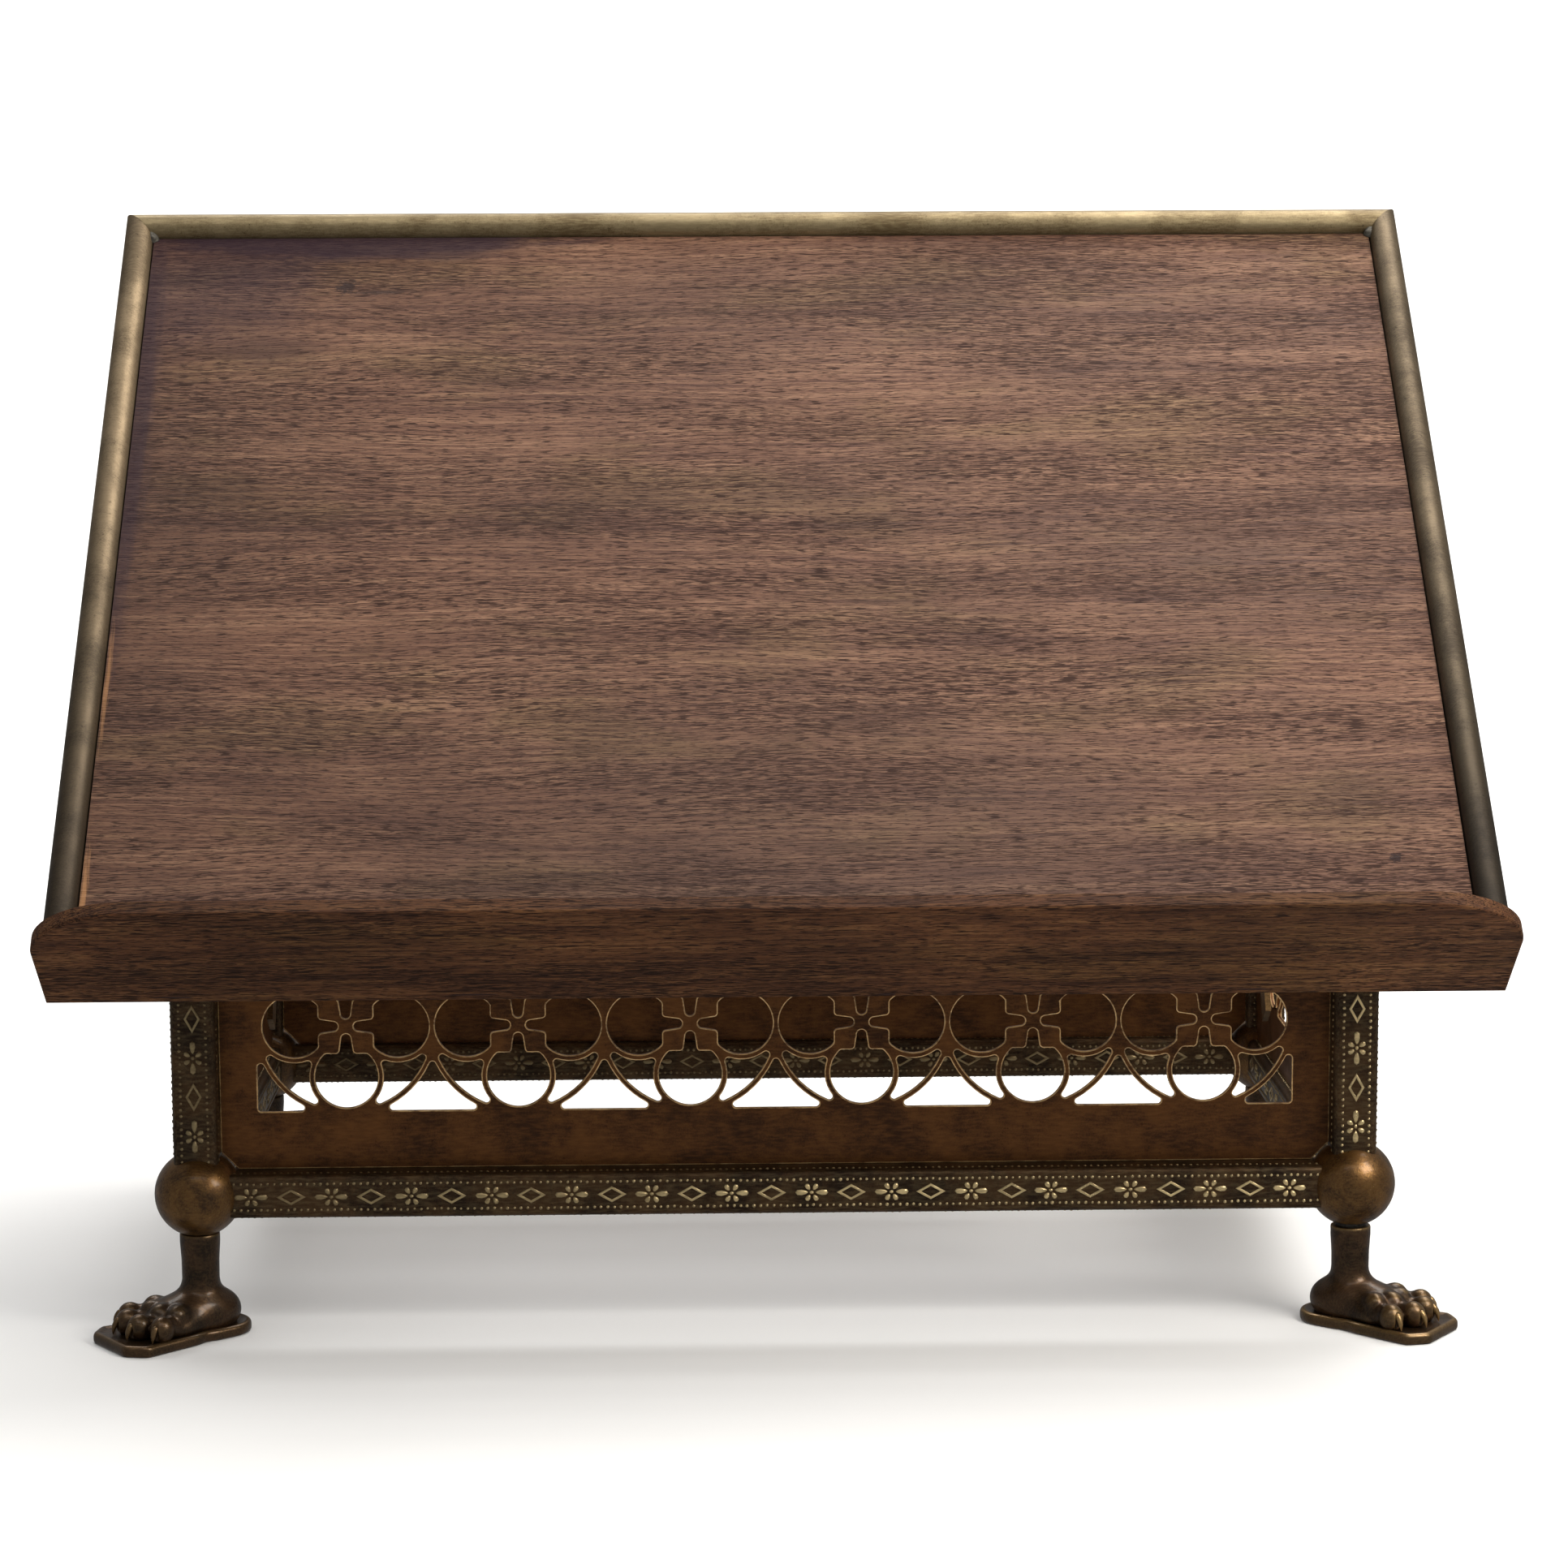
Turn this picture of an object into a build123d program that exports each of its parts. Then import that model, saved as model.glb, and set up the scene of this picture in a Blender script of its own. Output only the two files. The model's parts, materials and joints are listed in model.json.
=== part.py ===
"""Adjustable book display stand: a sloping wooden board in a brass edging, hinged on a
box-shaped brass base with pierced galleries, ball corners and lion-paw feet.

Millimetres, +Z up, X along the ledge, the reader at -Y. The origin is on the floor, at the
centre of the whole stand's box.
"""
import os
from math import asin, ceil, cos, degrees, floor, radians, sin, sqrt

from build123d import *

# ---- driving dimensions: base ----
BALL_SPAN_X = 380.0        # between ball centres, across
BALL_SPAN_Y = 211.0        # between ball centres, front to rear
BALL_Z = 47.5              # ball centres above the floor
BALL_R = 14.4
TUBE = 14.6                # square tube of rails and posts
TUBE_WALL = 1.2
TUBE_ARRIS = 2.2
TUBE_SEAT = 10.6           # ball centre to the flat seat that a tube end stands on

# ---- gallery sheets ----
SHEET = 1.6
SHEET_SETBACK = 3.0        # sheet's middle plane, inward of the tube axis
GALLERY_FOOT = 19.2        # solid band under the tracery
GALLERY_HEAD = 13.7        # solid band above the tracery
GALLERY_END = 11.0         # least solid margin at each end
PITCH = 56.4               # one tracery unit
TRACERY_WALL = 1.9         # bars between openings
CIRCLE_BAR = 1.8           # bar of the enclosing circle
CIRCLE_LAP = 1.7           # how far the circles run into the bands
LOBE_R = 10.35
PETAL_END = 9.2            # petal ends, from the flower's centre
SLOT_TIP = 2.6             # slot tips, from the flower's centre
SLOT_WIDTH = 3.1
SLOT_FLARE = 4.6           # slot width at the petal ends
FLOWER_CORE = 19.4         # solid square that the flower is cut from
CLIP_CLEARANCE = 0.2       # clipped corners to the balls
TRACERY_ROUND = 1.1        # smallest corner radius between the bars
SHOULDER_R = 1.4           # where a slot meets its lobe

# ---- board and ledge ----
SLOPE = 43.0               # degrees, at rest
BOARD_WIDTH = 460.0        # over the edging
BOARD_LENGTH = 330.0       # ledge to the top of the edging
BOARD_THICK = 16.0
BOARD_BELOW_HINGE = 48.4   # board's lower edge, down the slope from the hinge axis
EDGING_WIDTH = 10.0
EDGING_RISE = 5.0          # crown above the board's face
EDGING_WALL = 1.2
EDGING_GAP = 0.5           # shrinkage gap between wood and edging
LEDGE_LENGTH = 464.0
LEDGE_THICK = 5.3
LEDGE_ABOVE = 24.6         # above the board's face
LEDGE_BELOW = 21.3         # below the board's face
LEDGE_CORNER_LONG = 32.0   # rounded upper corners, along the ledge
LEDGE_CORNER_DEEP = 20.0   # and across it
LEDGE_TAPER = 1.6          # each end draws in towards the lower edge
LEDGE_ARRIS = 1.0
DOWEL_R = 3.0
DOWEL_LENGTH = 18.0
DOWEL_COUNT = 6
PIN_R = 0.9                # edging pins
PIN_LENGTH = 14.0
PIN_SPACING = 100.0

# ---- hinges ----
KNUCKLE_R = 2.8
HINGE_PIN_R = 1.3
HINGE_RUN = 0.05           # radial clearance on the pin
HINGE_GAP = 0.4            # knuckle to board and rail
LEAF_THICK = 1.4
LEAF_WIDTH = 42.0
LEAF_REACH_BOARD = 24.0
LEAF_REACH_RAIL = 11.0
HINGE_X = 130.0            # hinge centres from the middle
KNUCKLE_GAP = 0.3
SCREW_R = 1.4
SCREW_HEAD_R = 2.7
SCREW_LENGTH = 8.0
SCREW_HEAD = 1.1
SCREW_NEAR = 12.0          # outer screws of a board leaf, from the hinge axis
SCREW_FAR = 19.2           # middle screw

# ---- quadrant stays and thumbscrews ----
STAY_R = 140.0             # middle radius about the hinge axis
STAY_WIDTH = 10.0
STAY_THICK = 2.0
STAY_SLOT = 4.8
STAY_INSET = 6.2           # stay's middle plane, inside the rail's inner face
STAY_BELOW = 33.0          # degrees below the hinge's level at rest
STAY_END_WEB = 9.0         # solid beyond the slot's lower end
STAY_HEAD_WEB = 4.0        # solid between the slot and the board
STAY_FOOT = (16.0, 34.0)   # flange under the board, across and along
BOSS_R = 6.0
CLAMP_GAP = 0.3
CLAMP_SHANK_R = 2.0
CLAMP_RUN = 0.05
THUMB_R = 8.0              # thumbscrew head
THUMB_THICK = 5.0
THUMB_NOTCHES = 24
THUMB_NOTCH_R = 0.5

# ---- feet ----
STEM_R = 6.6
STEM_WAIST_R = 6.0
STEM_NECK = 3.0            # straight part under the stem's top
ANKLE_R = 10.6             # where the stem runs out onto the sole
ANKLE_RISE = 7.7           # height of the ankle's bulge above the sole
ANKLE_BULGE_R = 8.8
STUD_R = 4.0
STUD_COLLAR_R = 5.1
STUD_RUN = 0.05
STUD_IN_BALL = 9.0
STUD_IN_FOOT = 12.0
SOLE_THICK = 3.8
SOLE_BACK = 17.0           # heel of the sole behind the stem axis
SOLE_FRONT = 34.5          # front edge ahead of the stem axis
SOLE_HEEL_R = 11.0
SOLE_WIDTH = 34.0
SOLE_TOE_WIDTH = 22.0
PAW_HEIGHT = 11.0          # instep, at the ankle
INSTEP_WIDTH = 20.0        # at the toes
INSTEP_HEIGHT = 5.5
TOES = 4
TOE_R = 4.3
TOE_PITCH = 6.9
TOE_SETBACK = 1.7          # each toe from the one nearer the middle line
TOE_RISE = 2.6             # toe centres above the sole
FOOT_GAPS = {"front_left": 0.3, "front_right": 1.5, "rear_left": 0.3, "rear_right": 0.3}
FOOT_HEADINGS = {"front_left": 215.0, "front_right": 325.0, "rear_left": 151.0, "rear_right": 29.0}

# ---- worked out from the above ----
half_x = BALL_SPAN_X / 2
half_y = BALL_SPAN_Y / 2
circle_in = PITCH / 2
circle_out = circle_in + CIRCLE_BAR
lobe_offset = PITCH / 2 - TRACERY_WALL / 2 - LOBE_R
window_half = circle_out - CIRCLE_LAP
gallery_height = GALLERY_FOOT + 2 * window_half + GALLERY_HEAD
gallery_z = BALL_Z + TUBE / 2
top_rail_z = gallery_z + gallery_height + TUBE / 2
base_top = top_rail_z + TUBE / 2
ball_in_sheet = sqrt(BALL_R**2 - (SHEET_SETBACK - SHEET / 2) ** 2)
corner_clip = sqrt(2) * (ball_in_sheet + CLIP_CLEARANCE) - TUBE
hinge_y = -half_y - TUBE / 2 - HINGE_GAP - KNUCKLE_R
hinge_z = base_top - HINGE_GAP
face_offset = KNUCKLE_R + HINGE_GAP + BOARD_THICK     # board's face from the hinge axis
ball_flat = sqrt(BALL_R**2 - STEM_R**2)
corners = {
    "front_left": (-half_x, -half_y),
    "front_right": (half_x, -half_y),
    "rear_left": (-half_x, half_y),
    "rear_right": (half_x, half_y),
}
pieces = []


def keep(part, label):
    """Label a finished piece and hold it for export."""
    part.label = label
    pieces.append(part)


def board_plane(along, above):
    """Plane square to X on the board, its local X up the slope and local Y off the face.

    along is up the slope from the hinge axis, above is off the board's face.
    """
    up = (0, cos(radians(SLOPE)), sin(radians(SLOPE)))
    off = (0, -sin(radians(SLOPE)), cos(radians(SLOPE)))
    reach = face_offset + above
    origin = (0, hinge_y + up[1] * along + off[1] * reach, hinge_z + up[2] * along + off[2] * reach)
    return Plane(origin=origin, x_dir=up, z_dir=(1, 0, 0))


def board_face(along, above):
    """Plane lying in the board's face: local X across the stand, local Y up the slope."""
    return Plane(origin=board_plane(along, above).origin, x_dir=(1, 0, 0), z_dir=board_plane(0, 0).y_dir)


def drilled(part, fasteners):
    """The part with the room for each fastener taken out."""
    for fastener in fasteners:
        part = part - fastener
    return part


# ---- tubes ----
def tube(plane, length):
    """Square tube with rounded arrises, centred on the plane and running along its normal."""
    with BuildPart() as piece:
        with BuildSketch(plane.offset(-length / 2)):
            RectangleRounded(TUBE, TUBE, TUBE_ARRIS)
            Rectangle(TUBE - 2 * TUBE_WALL, TUBE - 2 * TUBE_WALL, mode=Mode.SUBTRACT)
        extrude(amount=length)
    return piece.part


def make_rails():
    """Bottom rails run from ball to ball, top rails from post to post."""
    for side, sign in (("front", -1), ("rear", 1)):
        y = sign * half_y
        low = Plane(origin=(0, y, BALL_Z), x_dir=(0, 1, 0), z_dir=(1, 0, 0))
        high = Plane(origin=(0, y, top_rail_z), x_dir=(0, 1, 0), z_dir=(1, 0, 0))
        keep(tube(low, BALL_SPAN_X - 2 * TUBE_SEAT), f"{side}_bottom_rail")
        top_rail = tube(high, BALL_SPAN_X - TUBE)
        keep(drilled(top_rail, rail_screw_solids()) if side == "front" else top_rail, f"{side}_top_rail")
    for side, sign in (("left", -1), ("right", 1)):
        x = sign * half_x
        low = Plane(origin=(x, 0, BALL_Z), x_dir=(1, 0, 0), z_dir=(0, 1, 0))
        high = Plane(origin=(x, 0, top_rail_z), x_dir=(1, 0, 0), z_dir=(0, 1, 0))
        keep(tube(low, BALL_SPAN_Y - 2 * TUBE_SEAT), f"{side}_bottom_rail")
        keep(tube(high, BALL_SPAN_Y - TUBE), f"{side}_top_rail")


def make_posts():
    """Corner posts stand on the balls; one low cap closes the top of each."""
    foot_z = BALL_Z + TUBE_SEAT
    for corner, (x, y) in corners.items():
        middle = Plane(origin=(x, y, (foot_z + base_top) / 2), x_dir=(1, 0, 0), z_dir=(0, 0, 1))
        keep(tube(middle, base_top - foot_z), f"{corner}_post")


def make_post_caps():
    """Plugs pushed into the posts, level with their tops."""
    plug = TUBE - 2 * TUBE_WALL
    with BuildPart() as post_caps:
        with BuildSketch(Plane.XY.offset(base_top - TUBE_WALL)):
            with Locations(*corners.values()):
                Rectangle(plug, plug)
        extrude(amount=TUBE_WALL)
    keep(post_caps.part, "post_caps")


def make_balls():
    """Corner balls, each with three square seats and a flat, drilled underside for the foot."""
    for corner, (x, y) in corners.items():
        inward_x = -1 if x > 0 else 1
        inward_y = -1 if y > 0 else 1
        centre = Vector(x, y, BALL_Z)
        with BuildPart() as ball:
            with Locations(centre):
                Sphere(BALL_R)
            for direction in ((inward_x, 0, 0), (0, inward_y, 0), (0, 0, 1)):
                seat = Plane(origin=centre + Vector(direction) * TUBE_SEAT, z_dir=direction)
                with BuildSketch(seat):
                    RectangleRounded(TUBE, TUBE, TUBE_ARRIS)
                extrude(amount=BALL_R, mode=Mode.SUBTRACT)
            with BuildSketch(Plane.XY.offset(BALL_Z - ball_flat)):
                with Locations((x, y)):
                    Circle(BALL_R)
            extrude(amount=-BALL_R, mode=Mode.SUBTRACT)
            with BuildSketch(Plane.XY.offset(BALL_Z - ball_flat)):
                with Locations((x, y)):
                    Circle(STUD_R)
            extrude(amount=STUD_IN_BALL, mode=Mode.SUBTRACT)
        keep(ball.part, f"{corner}_ball")


# ---- galleries ----
def lobe_opening():
    """One round lobe with the keyhole slot that runs from it between two petals."""
    with BuildSketch() as opening:
        with Locations((lobe_offset, 0)):
            Circle(LOBE_R)
        with Locations((PETAL_END, 0)):
            Rectangle(2 * LOBE_R, 2 * LOBE_R, align=(Align.MAX, Align.CENTER), mode=Mode.SUBTRACT)
        with BuildLine():
            tip = SLOT_TIP + SLOT_WIDTH / 2
            ThreePointArc((tip, -SLOT_WIDTH / 2), (SLOT_TIP, 0), (tip, SLOT_WIDTH / 2))
            Polyline(
                (tip, SLOT_WIDTH / 2),
                (PETAL_END, SLOT_FLARE / 2),
                (lobe_offset, SLOT_FLARE / 2),
                (lobe_offset, -SLOT_FLARE / 2),
                (PETAL_END, -SLOT_FLARE / 2),
                (tip, -SLOT_WIDTH / 2),
            )
        make_face()
        slot_ends = opening.vertices().filter_by_position(Axis.Y, -SLOT_FLARE, SLOT_FLARE)
        shoulders = slot_ends.filter_by_position(Axis.X, tip + SHOULDER_R, lobe_offset)
        fillet(shoulders, SHOULDER_R)
    return opening.sketch


def circle_spandrels():
    """The four triangular openings between the lobes and the enclosing circle."""
    with BuildSketch() as openings:
        Circle(circle_in)
        with PolarLocations(lobe_offset, 4):
            Circle(LOBE_R + TRACERY_WALL, mode=Mode.SUBTRACT)
        Rectangle(FLOWER_CORE, FLOWER_CORE, mode=Mode.SUBTRACT)
        offset(amount=-TRACERY_ROUND)
        offset(amount=TRACERY_ROUND)
    return openings.sketch


def band_spandrels(count):
    """Openings between the enclosing circles and the straight edges of the window."""
    with BuildSketch() as openings:
        Rectangle(count * PITCH + TRACERY_WALL, 2 * window_half)
        with GridLocations(PITCH, 1, count, 1):
            Circle(circle_out, mode=Mode.SUBTRACT)
        offset(amount=-TRACERY_ROUND)
        offset(amount=TRACERY_ROUND)
    return openings.sketch


def gallery(plane, length):
    """Pierced sheet on a plane through its middle, as many whole tracery units as fit."""
    count = floor((length - 2 * GALLERY_END) / PITCH)
    lobe = lobe_opening()
    corners_open = circle_spandrels()
    bands_open = band_spandrels(count)
    rise = (GALLERY_FOOT - GALLERY_HEAD) / 2
    with BuildPart() as sheet:
        with BuildSketch(plane):
            outline = Rectangle(length, gallery_height)
            chamfer(outline.vertices(), corner_clip)
            with Locations((0, rise)):
                add(bands_open, mode=Mode.SUBTRACT)
            for x in GridLocations(PITCH, 1, count, 1).local_locations:
                with Locations((x.position.X, rise)):
                    add(corners_open, mode=Mode.SUBTRACT)
                    for turn in range(4):
                        add(lobe, rotation=90 * turn, mode=Mode.SUBTRACT)
        extrude(amount=SHEET / 2, both=True)
    return sheet.part


def make_galleries():
    """Front, rear and side sheets, standing on the bottom rails between the posts."""
    z = gallery_z + gallery_height / 2
    inset_x = half_x - SHEET_SETBACK
    inset_y = half_y - SHEET_SETBACK
    long_side = BALL_SPAN_X - TUBE
    short_side = BALL_SPAN_Y - TUBE
    front = Plane(origin=(0, -inset_y, z), x_dir=(1, 0, 0), z_dir=(0, -1, 0))
    rear = Plane(origin=(0, inset_y, z), x_dir=(-1, 0, 0), z_dir=(0, 1, 0))
    left = Plane(origin=(-inset_x, 0, z), x_dir=(0, -1, 0), z_dir=(-1, 0, 0))
    right = Plane(origin=(inset_x, 0, z), x_dir=(0, 1, 0), z_dir=(1, 0, 0))
    keep(gallery(front, long_side), "front_gallery")
    keep(gallery(rear, long_side), "rear_gallery")
    keep(gallery(left, short_side), "left_gallery")
    keep(gallery(right, short_side), "right_gallery")


# ---- board ----
board_foot = -BOARD_BELOW_HINGE
board_head = board_foot + BOARD_LENGTH
wood_width = BOARD_WIDTH - 2 * (EDGING_WIDTH + EDGING_GAP)
wood_length = BOARD_LENGTH - EDGING_WIDTH - EDGING_GAP
edging_x = (BOARD_WIDTH - EDGING_WIDTH) / 2
dowel_pitch = wood_width / DOWEL_COUNT


def make_reading_board():
    """Plain board, drilled along its lower edge for the ledge's dowels and round it for pins."""
    with BuildPart() as reading_board:
        with BuildSketch(board_face(board_foot + wood_length / 2, 0)):
            Rectangle(wood_width, wood_length)
        extrude(amount=-BOARD_THICK)
        with BuildSketch(edge_plane(board_foot, -BOARD_THICK / 2)):
            with GridLocations(dowel_pitch, 1, DOWEL_COUNT, 1):
                Circle(DOWEL_R)
        extrude(amount=DOWEL_LENGTH - LEDGE_THICK / 2, mode=Mode.SUBTRACT)
    keep(drilled(reading_board.part, pin_solids() + board_screw_solids()), "reading_board")


def edge_plane(along, above):
    """Plane square to the slope; its local X runs across and its normal up the slope."""
    station = board_plane(along, above)
    return Plane(origin=station.origin, x_dir=(1, 0, 0), z_dir=station.x_dir)


def make_ledge():
    """Thin plank square to the board, its upper corners rounded and its ends drawn in."""
    half = LEDGE_LENGTH / 2
    foot_x = half - LEDGE_TAPER
    arc_x = half - LEDGE_CORNER_LONG
    shoulder = LEDGE_ABOVE - LEDGE_CORNER_DEEP
    foot_edge = edge_plane(board_foot, 0)
    down_slope = Plane(origin=foot_edge.origin, x_dir=(1, 0, 0), z_dir=-foot_edge.z_dir)
    with BuildPart() as ledge:
        with BuildSketch(down_slope):
            with BuildLine():
                for side in (-1, 1):
                    Line((0, -LEDGE_BELOW), (side * foot_x, -LEDGE_BELOW))
                    Line((side * foot_x, -LEDGE_BELOW), (side * half, shoulder))
                    EllipticalCenterArc(
                        (side * arc_x, shoulder),
                        LEDGE_CORNER_LONG,
                        LEDGE_CORNER_DEEP,
                        start_angle=90,
                        arc_size=-side * 90,
                    )
                    Line((side * arc_x, LEDGE_ABOVE), (0, LEDGE_ABOVE))
            make_face()
        extrude(amount=LEDGE_THICK)
        outer = ledge.faces().sort_by(Axis(down_slope.origin, down_slope.z_dir))[-1]
        fillet(outer.edges(), LEDGE_ARRIS)
        with BuildSketch(edge_plane(board_foot, -BOARD_THICK / 2)):
            with GridLocations(dowel_pitch, 1, DOWEL_COUNT, 1):
                Circle(DOWEL_R)
        extrude(amount=-LEDGE_THICK / 2, mode=Mode.SUBTRACT)
    keep(ledge.part, "ledge")


def make_ledge_dowels():
    """Wooden dowels that hold the ledge to the board's lower edge."""
    with BuildPart() as ledge_dowels:
        with BuildSketch(edge_plane(board_foot - LEDGE_THICK / 2, -BOARD_THICK / 2)):
            with GridLocations(dowel_pitch, 1, DOWEL_COUNT, 1):
                Circle(DOWEL_R)
        extrude(amount=DOWEL_LENGTH)
    keep(ledge_dowels.part, "ledge_dowels")


def edging_profile():
    """Hollow D: straight sides as deep as the board, and a half-round crown."""
    half = EDGING_WIDTH / 2
    with BuildSketch() as profile:
        with BuildLine():
            Polyline((-half, 0), (-half, -BOARD_THICK), (half, -BOARD_THICK), (half, 0))
            ThreePointArc((half, 0), (0, EDGING_RISE), (-half, 0))
        make_face()
        with BuildLine():
            inner = half - EDGING_WALL
            bottom = EDGING_WALL - BOARD_THICK
            Polyline((-inner, 0), (-inner, bottom), (inner, bottom), (inner, 0))
            ThreePointArc((inner, 0), (0, EDGING_RISE - EDGING_WALL), (-inner, 0))
        make_face(mode=Mode.SUBTRACT)
    return profile.sketch


def mitre_wedge(side, keep_top):
    """Half space beyond the 45 degree joint at a top corner, as a large triangular prism."""
    size = 2 * BOARD_LENGTH
    corner = (side * BOARD_WIDTH / 2, 0)
    far = (corner[0] - side * size, corner[1] - size)
    third = (far[0], size) if not keep_top else (corner[0], -size)
    with BuildPart() as wedge:
        with BuildSketch(board_face(board_head, -2 * BOARD_THICK)):
            with BuildLine():
                Polyline(corner, far, third, close=True)
            make_face()
        extrude(amount=4 * BOARD_THICK)
    return wedge.part


def make_edging():
    """Two side lengths from the ledge to the mitres, and the top length between the mitres."""
    profile = edging_profile()
    head = edge_plane(board_head, 0)
    for name, side in (("left", -1), ("right", 1)):
        centre = head.origin + Vector(side * edging_x, 0, 0)
        section = Plane(origin=centre, x_dir=(1, 0, 0), z_dir=-head.z_dir)
        with BuildPart() as length:
            with BuildSketch(section):
                add(profile)
            extrude(amount=BOARD_LENGTH)
            add(mitre_wedge(side, False), mode=Mode.SUBTRACT)
        keep(drilled(length.part, pin_solids()), f"{name}_edging")
    with BuildPart() as top:
        with BuildSketch(board_plane(board_head - EDGING_WIDTH / 2, 0).offset(-BOARD_WIDTH / 2)):
            add(profile)
        extrude(amount=BOARD_WIDTH)
        for side in (-1, 1):
            add(mitre_wedge(side, True), mode=Mode.SUBTRACT)
    keep(drilled(top.part, pin_solids()), "top_edging")


def pin_solids():
    """Pins through the edging's inner wall into the wood, at half the board's thickness."""
    solids = []
    depth = -BOARD_THICK / 2
    side_count = ceil(wood_length / PIN_SPACING)
    top_count = ceil(wood_width / PIN_SPACING)
    for side in (-1, 1):
        for i in range(side_count):
            along = board_foot + wood_length * (i + 0.5) / side_count
            start = board_plane(along, depth).origin + Vector(side * (edging_x + EDGING_WIDTH / 4), 0, 0)
            solids.append(pin_solid(start, (-side, 0, 0)))
    up = board_plane(0, 0).x_dir
    for i in range(top_count):
        x = wood_width * ((i + 0.5) / top_count - 0.5)
        start = board_plane(board_head - EDGING_WIDTH / 4, depth).origin + Vector(x, 0, 0)
        solids.append(pin_solid(start, -up))
    return solids


def pin_solid(start, direction):
    """One plain round pin."""
    return Plane(origin=start, z_dir=direction) * Pos(0, 0, PIN_LENGTH / 2) * Cylinder(PIN_R, PIN_LENGTH)


def make_edging_pins():
    """All the pins of the edging as one group."""
    keep(Part() + pin_solids(), "edging_pins")


# ---- hinges ----
def leaf(reach_plane, reach, shares):
    """Hinge leaf: a plate, and the shares of the knuckle that it owns.

    reach_plane has its origin on the hinge axis, local X along the leaf and local Y towards
    the face that the leaf lies on.
    """
    segment = LEAF_WIDTH / 3
    drop = KNUCKLE_R + HINGE_GAP
    web_x = KNUCKLE_R + 2 * LEAF_THICK
    with BuildPart() as piece:
        with BuildSketch(reach_plane.offset(-LEAF_WIDTH / 2)):
            with Locations((0, drop)):
                Rectangle(reach, LEAF_THICK, align=(Align.MIN, Align.MAX))
        extrude(amount=LEAF_WIDTH)
        with BuildSketch(reach_plane.offset(-LEAF_WIDTH / 2)):
            Circle(KNUCKLE_R + KNUCKLE_GAP)
        extrude(amount=LEAF_WIDTH, mode=Mode.SUBTRACT)
        for share in shares:
            with BuildSketch(reach_plane.offset((share - 1.5) * segment + KNUCKLE_GAP / 2)):
                Circle(KNUCKLE_R)
                with BuildLine():
                    Polyline((0, 0), (web_x, drop - LEAF_THICK), (web_x, drop), (0, drop), close=True)
                make_face()
            extrude(amount=segment - KNUCKLE_GAP)
        with BuildSketch(reach_plane.offset(-LEAF_WIDTH / 2)):
            Circle(HINGE_PIN_R + HINGE_RUN)
        extrude(amount=LEAF_WIDTH, mode=Mode.SUBTRACT)
    return piece.part


def screw_solid(start, direction):
    """Countersunk screw: a conical head level with the start, then a plain shank."""
    place = Plane(origin=start, z_dir=direction)
    head = Pos(0, 0, SCREW_HEAD / 2) * Cone(SCREW_HEAD_R, SCREW_R, SCREW_HEAD)
    shank = Pos(0, 0, SCREW_LENGTH / 2) * Cylinder(SCREW_R, SCREW_LENGTH)
    return place * (head + shank)


def rail_screw_solids():
    """Two screws through each leaf into the front top rail."""
    solids = []
    for side in (-1, 1):
        for shift in (-1, 1):
            x = side * HINGE_X + shift * LEAF_WIDTH / 3
            start = Vector(x, -half_y - TUBE / 2 - LEAF_THICK, hinge_z - KNUCKLE_R - LEAF_REACH_RAIL / 2)
            solids.append(screw_solid(start, (0, 1, 0)))
    return solids


def board_screw_solids():
    """Three screws through each board leaf, and two through each stay's flange."""
    solids = []
    into = board_plane(0, 0).y_dir
    under = -BOARD_THICK - LEAF_THICK
    for side in (-1, 1):
        for shift in (-1, 0, 1):
            along = SCREW_NEAR if shift else SCREW_FAR
            place = board_plane(along, under).origin + Vector(side * HINGE_X + shift * LEAF_WIDTH / 3, 0, 0)
            solids.append(screw_solid(place, into))
        for shift in (-1, 1):
            along = stay_along + shift * STAY_FOOT[1] / 3
            place = board_plane(along, under).origin + Vector(side * (stay_x - STAY_FOOT[0] / 4), 0, 0)
            solids.append(screw_solid(place, into))
    return solids


def make_hinges():
    """Two butt hinges: rail leaves with outer knuckles, board leaves with the middle one."""
    for name, side in (("left", -1), ("right", 1)):
        axis_point = (side * HINGE_X, hinge_y, hinge_z)
        under_board = Plane(origin=axis_point, x_dir=board_plane(0, 0).x_dir, z_dir=(1, 0, 0))
        down_rail = Plane(origin=axis_point, x_dir=(0, 0, -1), z_dir=(1, 0, 0))
        rail_leaf = leaf(down_rail, LEAF_REACH_RAIL + KNUCKLE_R, (0, 2))
        board_leaf = leaf(under_board, LEAF_REACH_BOARD, (1,))
        keep(drilled(rail_leaf, rail_screw_solids()), f"{name}_hinge_rail_leaf")
        keep(drilled(board_leaf, board_screw_solids()), f"{name}_hinge_board_leaf")


def make_hinge_pins():
    """One pin through the knuckles of each hinge."""
    with BuildPart() as hinge_pins:
        for side in (-1, 1):
            middle = Plane(origin=(side * HINGE_X, hinge_y, hinge_z), z_dir=(1, 0, 0))
            with BuildSketch(middle.offset(-LEAF_WIDTH / 2)):
                Circle(HINGE_PIN_R)
            extrude(amount=LEAF_WIDTH)
    keep(hinge_pins.part, "hinge_pins")


# ---- stays ----
stay_x = half_x - TUBE / 2 - STAY_INSET
stay_along = sqrt(STAY_R**2 - (KNUCKLE_R + HINGE_GAP) ** 2)
clamp_z = top_rail_z
clamp_y = hinge_y + sqrt(STAY_R**2 - (hinge_z - clamp_z) ** 2)


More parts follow.
